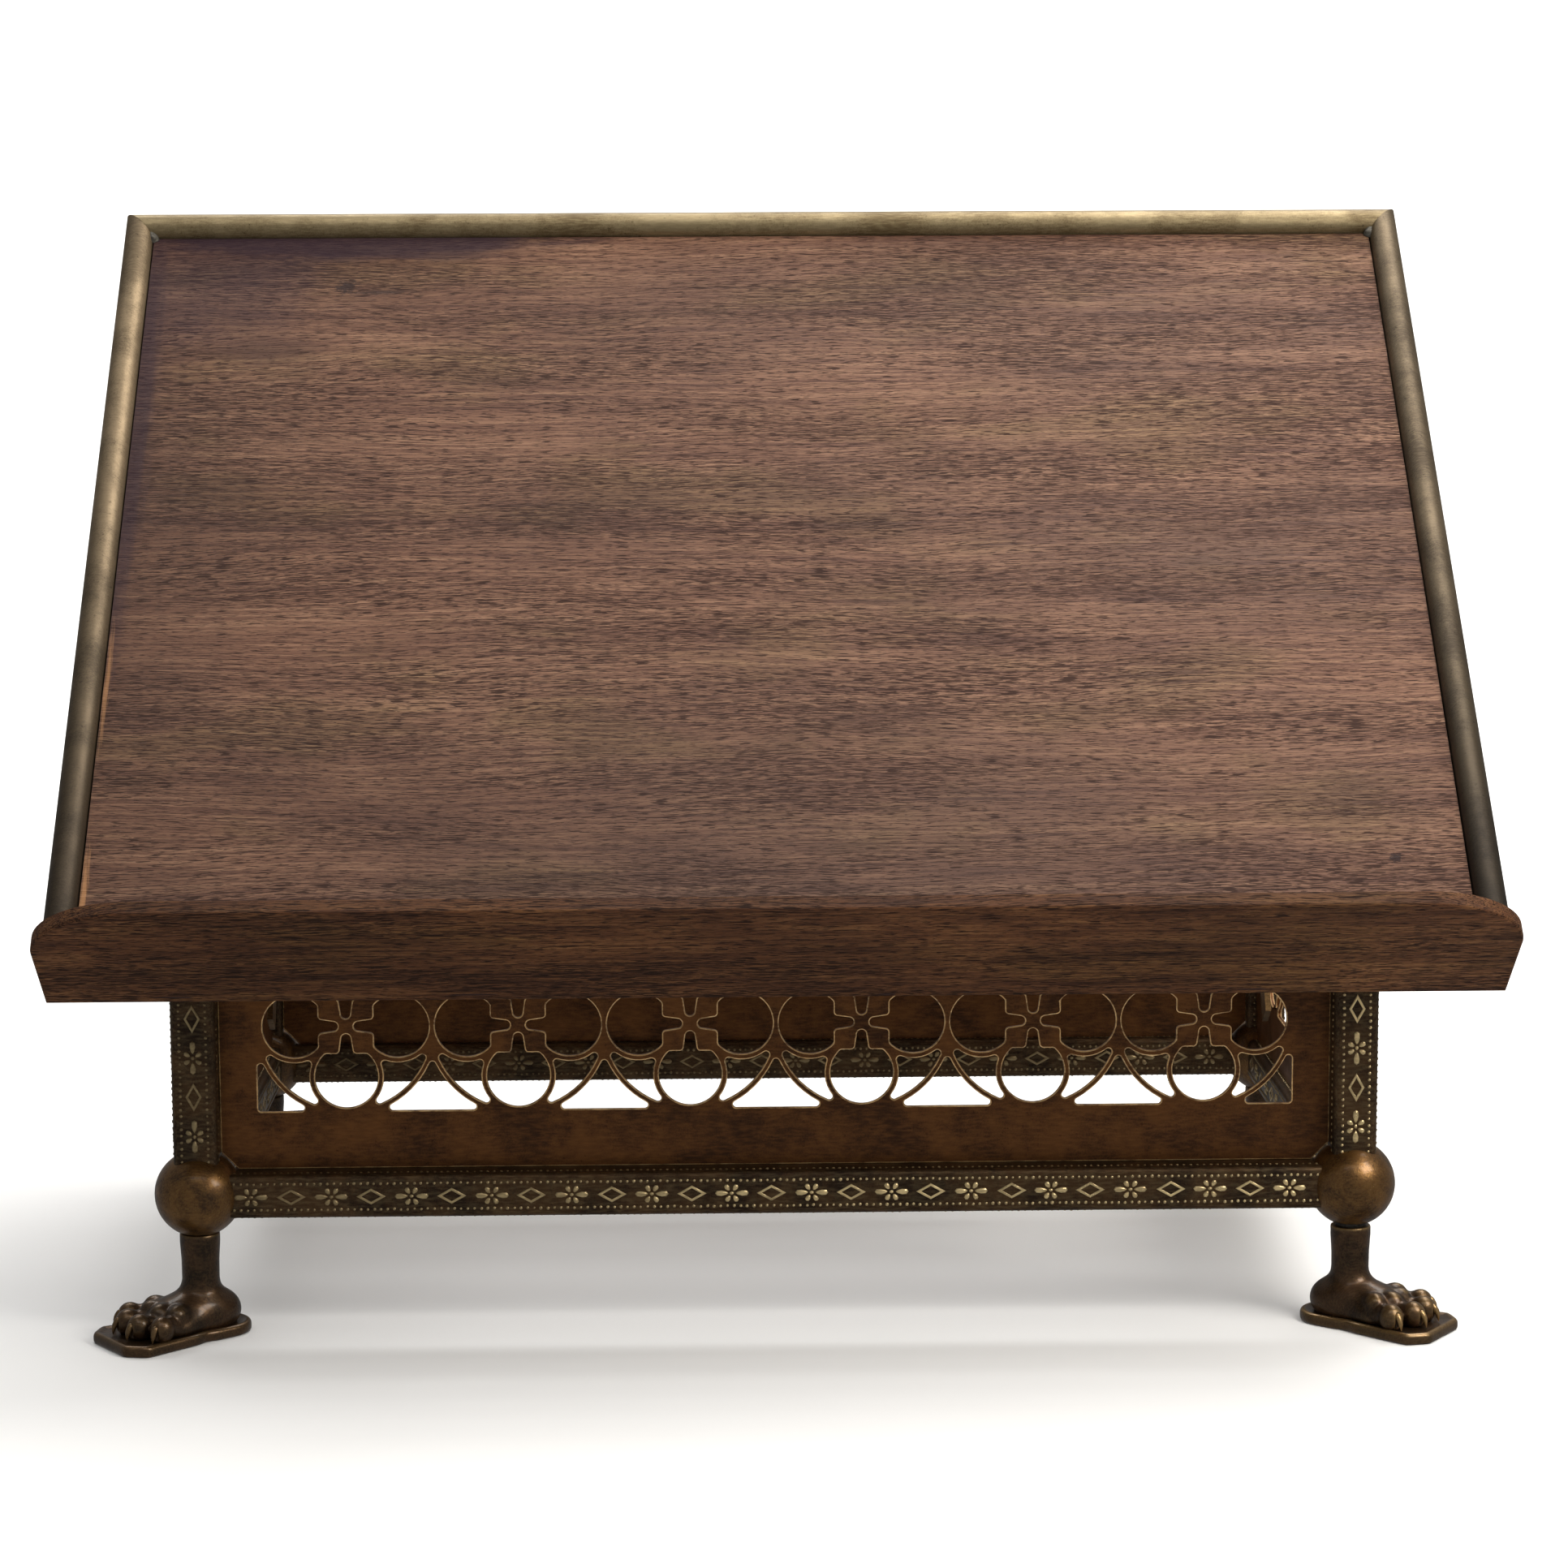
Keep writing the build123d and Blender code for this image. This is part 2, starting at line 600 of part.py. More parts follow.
def make_stays():
    """Slotted quadrants about the hinge axis, each with a flange screwed under the board."""
    outer = STAY_R + STAY_WIDTH / 2
    inner = STAY_R - STAY_WIDTH / 2
    head = degrees(asin((KNUCKLE_R + HINGE_GAP - LEAF_THICK / 2) / inner))
    slot_low = -STAY_BELOW + degrees(STAY_END_WEB / STAY_R)
    slot_high = SLOPE - degrees(STAY_HEAD_WEB / STAY_R)
    for name, side in (("left", -1), ("right", 1)):
        flat = Plane(origin=(side * stay_x, hinge_y, hinge_z), x_dir=(0, 1, 0), z_dir=(1, 0, 0))
        with BuildPart() as stay:
            with BuildSketch(flat):
                add(band(outer, inner, -STAY_BELOW, SLOPE + head))
                add(
                    band(STAY_R + STAY_SLOT / 2, STAY_R - STAY_SLOT / 2, slot_low, slot_high),
                    mode=Mode.SUBTRACT,
                )
            extrude(amount=STAY_THICK / 2, both=True)
            face = board_face(stay_along, -BOARD_THICK)
            with BuildSketch(face):
                with Locations((side * (stay_x - STAY_FOOT[0] / 2 + STAY_THICK / 2), 0)):
                    Rectangle(*STAY_FOOT)
            extrude(amount=-LEAF_THICK)
        keep(drilled(stay.part, board_screw_solids()), f"{name}_stay")


def band(outer, inner, low, high):
    """Part of a flat ring between two radii and two angles, with square ends."""
    angles = (low, (low + high) / 2, high)
    there = [(outer * cos(radians(a)), outer * sin(radians(a))) for a in angles]
    back = [(inner * cos(radians(a)), inner * sin(radians(a))) for a in reversed(angles)]
    with BuildSketch() as ring:
        with BuildLine():
            ThreePointArc(*there)
            Line(there[-1], back[0])
            ThreePointArc(*back)
            Line(back[-1], there[0])
        make_face()
    return ring.sketch


def make_clamps():
    """Bosses on the side rails and the knurled thumbscrews that pinch the stays to them."""
    boss_length = STAY_INSET - STAY_THICK / 2 - CLAMP_GAP
    for name, side in (("left", -1), ("right", 1)):
        rail_face = Plane(origin=(side * (half_x - TUBE / 2), clamp_y, clamp_z), z_dir=(-side, 0, 0))
        with BuildPart() as boss:
            with BuildSketch(rail_face):
                Circle(BOSS_R)
                Circle(CLAMP_SHANK_R + CLAMP_RUN, mode=Mode.SUBTRACT)
            extrude(amount=boss_length)
        keep(boss.part, f"{name}_stay_boss")
        head_at = STAY_INSET + STAY_THICK / 2 + CLAMP_GAP
        with BuildPart() as shank:
            with BuildSketch(rail_face.offset(CLAMP_GAP)):
                Circle(CLAMP_SHANK_R)
            extrude(amount=head_at - CLAMP_GAP)
        keep(shank.part, f"{name}_thumb_shank")
        with BuildPart() as thumbscrew:
            with BuildSketch(rail_face.offset(head_at)):
                Circle(THUMB_R)
                with PolarLocations(THUMB_R, THUMB_NOTCHES):
                    Circle(THUMB_NOTCH_R, mode=Mode.SUBTRACT)
            extrude(amount=THUMB_THICK)
        keep(thumbscrew.part, f"{name}_thumbscrew")


# ---- feet ----
def paw_outline():
    """Sole seen from above: round heel, sides that spread, cut front corners."""
    half = SOLE_WIDTH / 2
    toe = SOLE_TOE_WIDTH / 2
    heel_x = SOLE_HEEL_R - SOLE_BACK
    widest = SOLE_FRONT - (half - toe)
    with BuildSketch() as outline:
        with BuildLine():
            ThreePointArc((heel_x, SOLE_HEEL_R), (-SOLE_BACK, 0), (heel_x, -SOLE_HEEL_R))
            Polyline(
                (heel_x, -SOLE_HEEL_R),
                (widest, -half),
                (SOLE_FRONT, -toe),
                (SOLE_FRONT, toe),
                (widest, half),
                (heel_x, SOLE_HEEL_R),
            )
        make_face()
        front = outline.vertices().filter_by_position(Axis.X, widest, SOLE_FRONT)
        fillet(front, SOLE_THICK)
    return outline.sketch


def make_feet():
    """Paw feet, toes along local +X, turned to their own headings on the studs."""
    for corner, (x, y) in corners.items():
        stem_top = BALL_Z - ball_flat - FOOT_GAPS[corner]
        toe_x = SOLE_FRONT - 2 * TOE_R
        with BuildPart() as foot:
            with BuildSketch():
                add(paw_outline())
            extrude(amount=SOLE_THICK)
            with BuildSketch(Plane.XZ):
                with BuildLine():
                    Polyline((0, stem_top), (0, SOLE_THICK), (ANKLE_R, SOLE_THICK))
                    Spline(
                        (ANKLE_R, SOLE_THICK),
                        (ANKLE_BULGE_R, SOLE_THICK + ANKLE_RISE),
                        (STEM_WAIST_R, (stem_top + PAW_HEIGHT) / 2),
                        (STEM_R, stem_top - STEM_NECK),
                    )
                    Polyline((STEM_R, stem_top - STEM_NECK), (STEM_R, stem_top), (0, stem_top))
                make_face()
            revolve(axis=Axis.Z)
            with BuildSketch(Plane.YZ):
                Rectangle(2 * STEM_R, PAW_HEIGHT, align=(Align.CENTER, Align.MIN))
            with BuildSketch(Plane.YZ.offset(toe_x)):
                Rectangle(INSTEP_WIDTH, INSTEP_HEIGHT, align=(Align.CENTER, Align.MIN))
            loft()
            for i in range(TOES):
                place = i - (TOES - 1) / 2
                toe = (toe_x - abs(place) * TOE_SETBACK, place * TOE_PITCH, SOLE_THICK + TOE_RISE)
                with Locations(toe):
                    Sphere(TOE_R)
            with BuildSketch(Plane.XY.offset(stem_top)):
                Circle(STUD_R + STUD_RUN)
            extrude(amount=-STUD_IN_FOOT - STUD_RUN, mode=Mode.SUBTRACT)
        keep(Pos(x, y, 0) * Rot(0, 0, FOOT_HEADINGS[corner]) * foot.part, f"{corner}_foot")


def make_foot_studs():
    """Studs fixed in the balls, with a collar that shows in the gap above each foot."""
    with BuildPart() as foot_studs:
        for corner, (x, y) in corners.items():
            flat = BALL_Z - ball_flat
            gap = FOOT_GAPS[corner]
            with BuildSketch(Plane.XY.offset(flat - gap - STUD_IN_FOOT)):
                with Locations((x, y)):
                    Circle(STUD_R)
            extrude(amount=STUD_IN_FOOT + gap + STUD_IN_BALL)
            with BuildSketch(Plane.XY.offset(flat - gap + STUD_RUN)):
                with Locations((x, y)):
                    Circle(STUD_COLLAR_R)
            extrude(amount=gap - STUD_RUN)
    keep(foot_studs.part, "foot_studs")


def main():
    """Make every piece, centre the stand over the origin and write one file for each."""
    make_reading_board()
    make_ledge()
    make_ledge_dowels()
    make_edging()
    make_edging_pins()
    make_rails()
    make_posts()
    make_post_caps()
    make_balls()
    make_galleries()
    make_hinges()
    make_hinge_pins()
    keep(Part() + rail_screw_solids(), "rail_screws")
    keep(Part() + board_screw_solids(), "board_screws")
    make_stays()
    make_clamps()
    make_feet()
    make_foot_studs()
    box = Compound(children=[Part(p.wrapped) for p in pieces]).bounding_box()
    middle = (box.min.Y + box.max.Y) / 2
    os.makedirs("parts", exist_ok=True)
    for piece in pieces:
        label = piece.label
        moved = Pos(0, -middle, 0) * piece
        moved.label = label
        export_step(moved, f"parts/{label}.step")
    print(f"moved by {-middle:.4f}; hinge at y {hinge_y - middle:.4f}, z {hinge_z:.4f}")


main()
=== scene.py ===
"""Book display stand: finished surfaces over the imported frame.

A sloping wooden board in a brass edging, with a thin ledge, stands on a box of square brass
tube with pierced galleries, ball corners and paw feet. Shapes are worked out in millimetres
and set into the meshes in metres.
"""
import json
from math import cos, pi, radians, sin

import bmesh
import bpy
import numpy as np
from mathutils import Matrix, Vector


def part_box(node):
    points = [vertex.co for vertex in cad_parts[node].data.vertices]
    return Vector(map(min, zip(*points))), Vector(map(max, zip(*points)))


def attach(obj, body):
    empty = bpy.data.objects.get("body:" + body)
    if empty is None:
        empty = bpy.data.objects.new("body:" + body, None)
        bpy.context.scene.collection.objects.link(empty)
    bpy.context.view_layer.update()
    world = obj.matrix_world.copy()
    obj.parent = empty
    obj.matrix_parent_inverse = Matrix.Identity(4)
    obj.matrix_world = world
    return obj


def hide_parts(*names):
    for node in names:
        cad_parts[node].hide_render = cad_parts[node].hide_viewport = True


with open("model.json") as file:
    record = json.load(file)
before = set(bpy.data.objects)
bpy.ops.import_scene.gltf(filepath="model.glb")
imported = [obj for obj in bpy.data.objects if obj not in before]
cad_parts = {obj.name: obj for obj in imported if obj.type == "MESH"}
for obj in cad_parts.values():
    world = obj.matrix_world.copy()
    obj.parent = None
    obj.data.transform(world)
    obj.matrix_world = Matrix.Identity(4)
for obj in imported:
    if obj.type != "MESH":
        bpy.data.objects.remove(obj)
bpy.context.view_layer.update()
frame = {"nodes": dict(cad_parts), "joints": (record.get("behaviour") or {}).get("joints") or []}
MM = 0.001

# ---- sizes shared with the drawings, in millimetres ----
TUBE = 14.6
TUBE_ARRIS = 2.2
BALL_R = 14.4
STEM_R = 6.6
STUD_BORE_R = 4.4
STUD_DEPTH = 12.5
SLOPE = radians(43.0)
EDGING_WIDTH = 10.0
EDGING_RISE = 5.0
BOARD_THICK = 16.0
SOLE_BACK = 17.0
SOLE_FRONT = 34.5
SOLE_HEEL_R = 11.0
SOLE_WIDTH = 34.0
SOLE_TOE_WIDTH = 22.0
FOOT_HEADINGS = {"front_left": 215.0, "front_right": 325.0, "rear_left": 151.0, "rear_right": 29.0}

# ---- chased ornament of the tubes ----
BEAD_PITCH = 2.18
BEAD_ROW = 4.3
BEAD_R = 0.56
BEAD_MARGIN = 1.2
BEAD_STRAY = 0.07             # how far a bead is struck off its place
BEAD_SPREAD = 0.09            # spread of bead sizes, as a share
LOZENGE_LONG, LOZENGE_WIDE, LOZENGE_RISE = 4.9, 2.75, 0.42
MOTIF_PERIOD = 26.2
MOTIF_MARGIN = 6.5
RAIL_LOZENGE = -1.8           # first lozenge from the middle: front and rear rails
SIDE_RAIL_LOZENGE = 4.0
POST_LOZENGE_RISE = 59.7      # above the ball's centre

rng = np.random.default_rng(7)


# ---------------------------------------------------------------- meshes
def grid_quads(rows, columns, wrap=False):
    """Quads of a grid of points in row order; with wrap the last column joins the first."""
    row = np.arange(rows - 1)[:, None] * columns
    column = np.arange(columns if wrap else columns - 1)[None, :]
    after = (column + 1) % columns
    corners = [row + column, row + after, row + after + columns, row + column + columns]
    return np.stack(corners, -1).reshape(-1, 4)


def fan(centre, ring):
    """Triangles from one point to each pair of neighbours on a closed ring of points."""
    ring = np.asarray(ring)
    return np.stack([np.full(len(ring), centre), ring, np.roll(ring, -1)], -1)


def closed_rings(rings, start, end):
    """Points, quads and triangles of a run of rings, each end closed by a fan from its middle."""
    rows, columns = rings.shape[:2]
    count = rows * columns
    first, last = np.arange(columns)[::-1], np.arange(columns) + count - columns
    points = np.concatenate([rings.reshape(-1, 3), [start, end]])
    triangles = np.concatenate([fan(count, first), fan(count + 1, last)])
    return points, grid_quads(rows, columns, True), triangles


class Shell:
    """Points and faces of one piece, gathered from several surfaces."""

    def __init__(self):
        self.points, self.quads, self.triangles, self.tones = [], [], [], []
        self.count = 0

    def add(self, points, quads=None, triangles=None, tone=0.0):
        """Adds a surface; tone is its finish value, one number or one for each point."""
        points = np.asarray(points, float).reshape(-1, 3)
        for held, new, width in ((self.quads, quads, 4), (self.triangles, triangles, 3)):
            if new is not None and len(new):
                held.append(np.asarray(new).reshape(-1, width) + self.count)
        self.points.append(points)
        self.tones.append(np.broadcast_to(np.asarray(tone, float), (len(points),)))
        self.count += len(points)

    def mesh(self, name):
        """The gathered faces as a Blender mesh, with the tones as the attribute 'tone'."""
        points = np.concatenate(self.points) * MM
        quads = np.concatenate(self.quads) if self.quads else np.zeros((0, 4), int)
        triangles = np.concatenate(self.triangles) if self.triangles else np.zeros((0, 3), int)
        sizes = np.concatenate([np.full(len(quads), 4), np.full(len(triangles), 3)])
        starts = np.concatenate([[0], np.cumsum(sizes)[:-1]])
        corners = np.concatenate([quads.ravel(), triangles.ravel()])
        mesh = bpy.data.meshes.new(name)
        mesh.vertices.add(len(points))
        mesh.vertices.foreach_set("co", points.astype(np.float32).ravel())
        mesh.loops.add(len(corners))
        mesh.loops.foreach_set("vertex_index", corners.astype(np.int32))
        mesh.polygons.add(len(sizes))
        mesh.polygons.foreach_set("loop_start", starts.astype(np.int32))
        mesh.update(calc_edges=True)
        mesh.validate()
        tone = mesh.attributes.new("tone", "FLOAT", "POINT")
        tone.data.foreach_set("value", np.concatenate(self.tones).astype(np.float32))
        return mesh


def finish_piece(name, mesh, body, finishes, nodes=(), crease=40.0):
    """Puts a mesh into the scene as one smooth piece that rides on a body."""
    for finish in finishes:
        mesh.materials.append(finish)
    mesh.shade_smooth()
    mesh.set_sharp_from_angle(angle=radians(crease))
    piece = bpy.data.objects.new(name, mesh)
    bpy.context.scene.collection.objects.link(piece)
    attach(piece, body)
    if nodes:
        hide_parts(*nodes)
    return piece


def outward(mesh):
    """Turns every face of a closed mesh outwards."""
    shell = bmesh.new()
    shell.from_mesh(mesh)
    bmesh.ops.recalc_face_normals(shell, faces=shell.faces)
    shell.to_mesh(mesh)
    shell.free()
    return mesh


def softened(node, name, body, finishes, width=0.25, segments=2, crease=30.0, clamped=True):
    """A CAD node's mesh, merged, with a small round along its sharp edges.

    The last finish goes on the round, where handling has rubbed the metal; on the gallery sheets that
    finish is lightened further as a painted highlight.
    """
    shell = bmesh.new()
    shell.from_mesh(frame["nodes"][node].data)
    bmesh.ops.remove_doubles(shell, verts=shell.verts, dist=2e-6)
    bmesh.ops.dissolve_limit(shell, angle_limit=radians(0.5), verts=shell.verts, edges=shell.edges)
    points = np.array([v.co[:] for v in shell.verts])
    faces = [[v.index for v in f.verts] for f in shell.faces]
    shell.free()
    mesh = bpy.data.meshes.new(name)
    mesh.from_pydata(points.tolist(), [], faces)
    outward(mesh)
    piece = finish_piece(name, mesh, body, finishes, (node,), crease)
    bevel = piece.modifiers.new("Softened edges", "BEVEL")
    bevel.width = width * MM
    bevel.segments = segments
    bevel.limit_method = "ANGLE"
    bevel.angle_limit = radians(crease)
    bevel.use_clamp_overlap = clamped
    bevel.miter_outer = "MITER_ARC"
    bevel.material = len(finishes) - 1
    bevel.harden_normals = True
    return piece


def middle(node):
    """Middle of a CAD node's box, in millimetres."""
    low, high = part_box(node)
    return np.array((low + high) / 2) / MM


def span(node, axis):
    """Length of a CAD node's box along an axis, in millimetres."""
    low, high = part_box(node)
    return (high[axis] - low[axis]) / MM


# ---------------------------------------------------------------- board frame
hinge = next(j for j in frame["joints"] if j["name"] == "board_tilt")
hinge_point = np.array(hinge["pos_m"]) / MM
UP_SLOPE = np.array((0.0, cos(SLOPE), sin(SLOPE)))
OFF_BOARD = np.array((0.0, -sin(SLOPE), cos(SLOPE)))


def on_board(x, along, above):
    """Points at x across, along up the slope from the hinge axis and above off its plane."""
    x, along, above = np.broadcast_arrays(x, along, above)
    across = x[..., None] * np.array((1.0, 0.0, 0.0))
    return across + hinge_point * (0, 1, 1) + along[..., None] * UP_SLOPE + above[..., None] * OFF_BOARD


def board_reach(node):
    """Lowest and highest of a node's points up the slope and off it, from the hinge axis."""
    data = frame["nodes"][node].data
    flat = np.zeros(len(data.vertices) * 3, np.float32)
    data.vertices.foreach_get("co", flat)
    away = flat.reshape(-1, 3) / MM - hinge_point * (0, 1, 1)
    up, off = away @ UP_SLOPE, away @ OFF_BOARD
    return (up.min(), up.max()), (off.min(), off.max())


# ---------------------------------------------------------------- node helpers
# places of the colour sockets on a mix node, whose names repeat
MIX_A, MIX_B, MIX_RESULT = 6, 7, 2


class Nodes:
    """Short way to add nodes to a tree: sockets take values or other nodes' outputs."""

    def __init__(self, tree):
        self.tree = tree

    def feed(self, socket, value):
        if isinstance(value, bpy.types.NodeSocket):
            self.tree.links.new(value, socket)
        else:
            socket.default_value = value

    def add(self, kind, sockets=None, **settings):
        node = self.tree.nodes.new(kind)
        for name, value in settings.items():
            setattr(node, name, value)
        for name, value in (sockets or {}).items():
            self.feed(node.inputs[name], value)
        return node

    def math(self, operation, a, b=0.0, clamp=False):
        return self.add("ShaderNodeMath", {0: a, 1: b}, operation=operation, use_clamp=clamp).outputs[0]

    def vector_math(self, operation, a, b=(0.0, 0.0, 0.0)):
        return self.add("ShaderNodeVectorMath", {0: a, 1: b}, operation=operation).outputs

    def ramp(self, value, low, high, to_low=0.0, to_high=1.0, smooth=True):
        kind = "SMOOTHSTEP" if smooth else "LINEAR"
        sockets = {"Value": value, "From Min": low, "From Max": high, "To Min": to_low, "To Max": to_high}
        return self.add("ShaderNodeMapRange", sockets, interpolation_type=kind).outputs["Result"]

    def mix(self, factor, a, b, blend="MIX"):
        node = self.tree.nodes.new("ShaderNodeMix")
        node.data_type = "RGBA"
        node.blend_type = blend
        for name, value in (("Factor", factor), (MIX_A, a), (MIX_B, b)):
            self.feed(node.inputs[name], value)
        return node.outputs[MIX_RESULT]

    def noise(self, vector, scale, detail=2.0, roughness=0.5, distortion=0.0):
        sockets = {"Vector": vector, "Scale": scale, "Detail": detail, "Roughness": roughness}
        return self.add("ShaderNodeTexNoise", {**sockets, "Distortion": distortion}).outputs["Fac"]

    def stretch(self, vector, scale, location=(0, 0, 0), rotation=(0, 0, 0)):
        sockets = {"Vector": vector, "Location": location, "Rotation": rotation, "Scale": scale}
        return self.add("ShaderNodeMapping", sockets).outputs["Vector"]

    def group(self, tree, sockets):
        node = self.tree.nodes.new("ShaderNodeGroup")
        node.node_tree = tree
        for name, value in sockets.items():
            self.feed(node.inputs[name], value)
        return node.outputs


def new_group(name, inputs, outputs):
    """Empty node group with named sockets; returns its tree, helper, inputs and output node."""
    tree = bpy.data.node_groups.new(name, "ShaderNodeTree")
    for label, kind, value in inputs:
        socket = tree.interface.new_socket(label, in_out="INPUT", socket_type=kind)
        if value is not None:
            socket.default_value = value
    for label, kind in outputs:
        tree.interface.new_socket(label, in_out="OUTPUT", socket_type=kind)
    entry = tree.nodes.new("NodeGroupInput").outputs
    leave = tree.nodes.new("NodeGroupOutput").inputs
    return tree, Nodes(tree), entry, leave


def colour(red, green, blue):
    """A finish colour from its 0 to 255 screen values."""
    def light(value):
        value /= 255.0
        return value / 12.92 if value <= 0.04045 else ((value + 0.055) / 1.055) ** 2.4
    return (light(red), light(green), light(blue), 1.0)


VECTOR, VALUE = "NodeSocketVector", "NodeSocketFloat"


def make_grain_group():
    """Open-pored hardwood with the grain along X; the vector is in millimetres.

    Streaks are noise drawn out along the grain over a slowly wandering line, and pores are a
    finer noise cut to short dashes, thicker in some bands than in others.
    """
    tree, n, entry, leave = new_group(
        "Wood grain",
        [("Vector", VECTOR, None)],
        [("Streak", VALUE), ("Cloud", VALUE), ("Pore", VALUE), ("Height", VALUE)],
    )
    place = entry["Vector"]
    wander = n.noise(n.stretch(place, (0.006, 0.02, 0.02)), 1.0, 2.0)
    lift = n.math("MULTIPLY", n.math("SUBTRACT", wander, 0.5), 15.0)
    shift = n.add("ShaderNodeCombineXYZ", {"Y": lift}).outputs["Vector"]
    bent = n.vector_math("ADD", place, shift)["Vector"]
    broad = n.noise(n.stretch(bent, (0.004, 0.09, 0.09)), 1.0, 3.0, 0.55)
    fine = n.noise(n.stretch(bent, (0.02, 0.9, 0.9)), 1.0, 3.0, 0.6)
    streak = n.math("ADD", n.math("MULTIPLY", broad, 0.3), n.math("MULTIPLY", fine, 0.7))
    cloud = n.noise(n.stretch(place, (0.010, 0.017, 0.017)), 1.0, 4.0, 0.6)
    dash = n.noise(n.stretch(bent, (0.15, 2.5, 2.5)), 1.0, 1.0, 0.4)
    small = n.noise(n.stretch(bent, (0.32, 4.2, 4.2), (40, 0, 0)), 1.0, 1.0, 0.4)
    band = n.noise(n.stretch(bent, (0.008, 0.06, 0.06), (9, 5, 0)), 1.0, 2.0)
    crowd = n.ramp(band, 0.35, 0.65, -0.03, 0.05)
    long_pore = n.ramp(n.math("ADD", dash, crowd), 0.555, 0.625)
    short_pore = n.ramp(n.math("ADD", small, crowd), 0.56, 0.63)
    pore = n.math("MAXIMUM", long_pore, n.math("MULTIPLY", short_pore, 0.8))
    height = n.math("SUBTRACT", n.math("MULTIPLY", streak, 0.35), pore)
    for label, value in (("Streak", streak), ("Cloud", cloud), ("Pore", pore), ("Height", height)):
        tree.links.new(value, leave[label])
    return tree


def make_spot_group():
    """One soft-edged oval mark, broken up by noise: 1 inside, 0 outside."""
    tree, n, entry, leave = new_group(
        "Mark",
        [
            ("Vector", VECTOR, None), ("Centre", VECTOR, None), ("Size", VECTOR, (10, 10, 10)),
            ("Ragged", VALUE, 0.4), ("Soft", VALUE, 0.5),
        ],
        [("Mask", VALUE)],
    )
    away = n.vector_math("SUBTRACT", entry["Vector"], entry["Centre"])["Vector"]
    scaled = n.vector_math("DIVIDE", away, entry["Size"])["Vector"]
    reach = n.vector_math("LENGTH", scaled)["Value"]
    rough = n.math("MULTIPLY", n.math("SUBTRACT", n.noise(scaled, 2.2, 4.0, 0.6), 0.5), entry["Ragged"])
    edge = n.math("ADD", reach, n.math("MULTIPLY", rough, 2.0))
    inner = n.math("SUBTRACT", 1.0, entry["Soft"])
    tree.links.new(n.ramp(edge, 1.0, inner), leave["Mask"])
    return tree


def make_patina_group():
    """Old brass: cloudy tarnish, dark specks, fine rubbing lines and a pitted surface.

    The vector and Cloud size, the width of one cloud, are in millimetres.
    """
    tree, n, entry, leave = new_group(
        "Brass patina",
        [("Vector", VECTOR, None), ("Cloud size", VALUE, 20.0)],
        [("Cloud", VALUE), ("Grit", VALUE), ("Speck", VALUE), ("Rub", VALUE), ("Height", VALUE)],
    )
    place = entry["Vector"]
    size = n.math("DIVIDE", 1.0, entry["Cloud size"])
    cloud = n.noise(place, size, 5.0, 0.62, 0.3)
    grit = n.noise(place, 1.8, 4.0, 0.65)
    speck = n.ramp(n.noise(place, 0.55, 4.0, 0.7), 0.60, 0.74)
    rub = n.noise(n.stretch(place, (0.25, 3.0, 1.2), (0, 0, 0), (0.5, 0.2, 0.8)), 1.0, 2.0, 0.5)
    height = n.math("ADD", n.math("MULTIPLY", grit, 0.6), n.math("MULTIPLY", cloud, 0.5))
    made = {"Cloud": cloud, "Grit": grit, "Speck": speck, "Rub": rub, "Height": height}
    for label, value in made.items():
        tree.links.new(value, leave[label])
    return tree


grain_group = make_grain_group()
spot_group = make_spot_group()
patina_group = make_patina_group()


def start_material(name, **shader):
    """New material; returns it, its node helper, its Principled sockets and millimetre space."""
    material = bpy.data.materials.new(name)
    material.use_nodes = True
    n = Nodes(material.node_tree)
    surface = material.node_tree.nodes["Principled BSDF"].inputs
    for label, value in shader.items():
        surface[label.replace("_", " ")].default_value = value
    place = n.add("ShaderNodeTexCoord").outputs["Object"]
    return material, n, surface, place


def connect(n, surface, label, value):
    n.tree.links.new(value, surface[label])


def bump(n, surface, height, strength, distance_mm):
    relief = n.add("ShaderNodeBump", {"Height": height, "Strength": strength, "Distance": distance_mm * MM})
    connect(n, surface, "Normal", relief.outputs["Normal"])


CLOUD_SHADE = (0.76, 0.72, 0.69, 1.0)
OLIVE_SHADE = (0.92, 0.98, 0.84, 1.0)


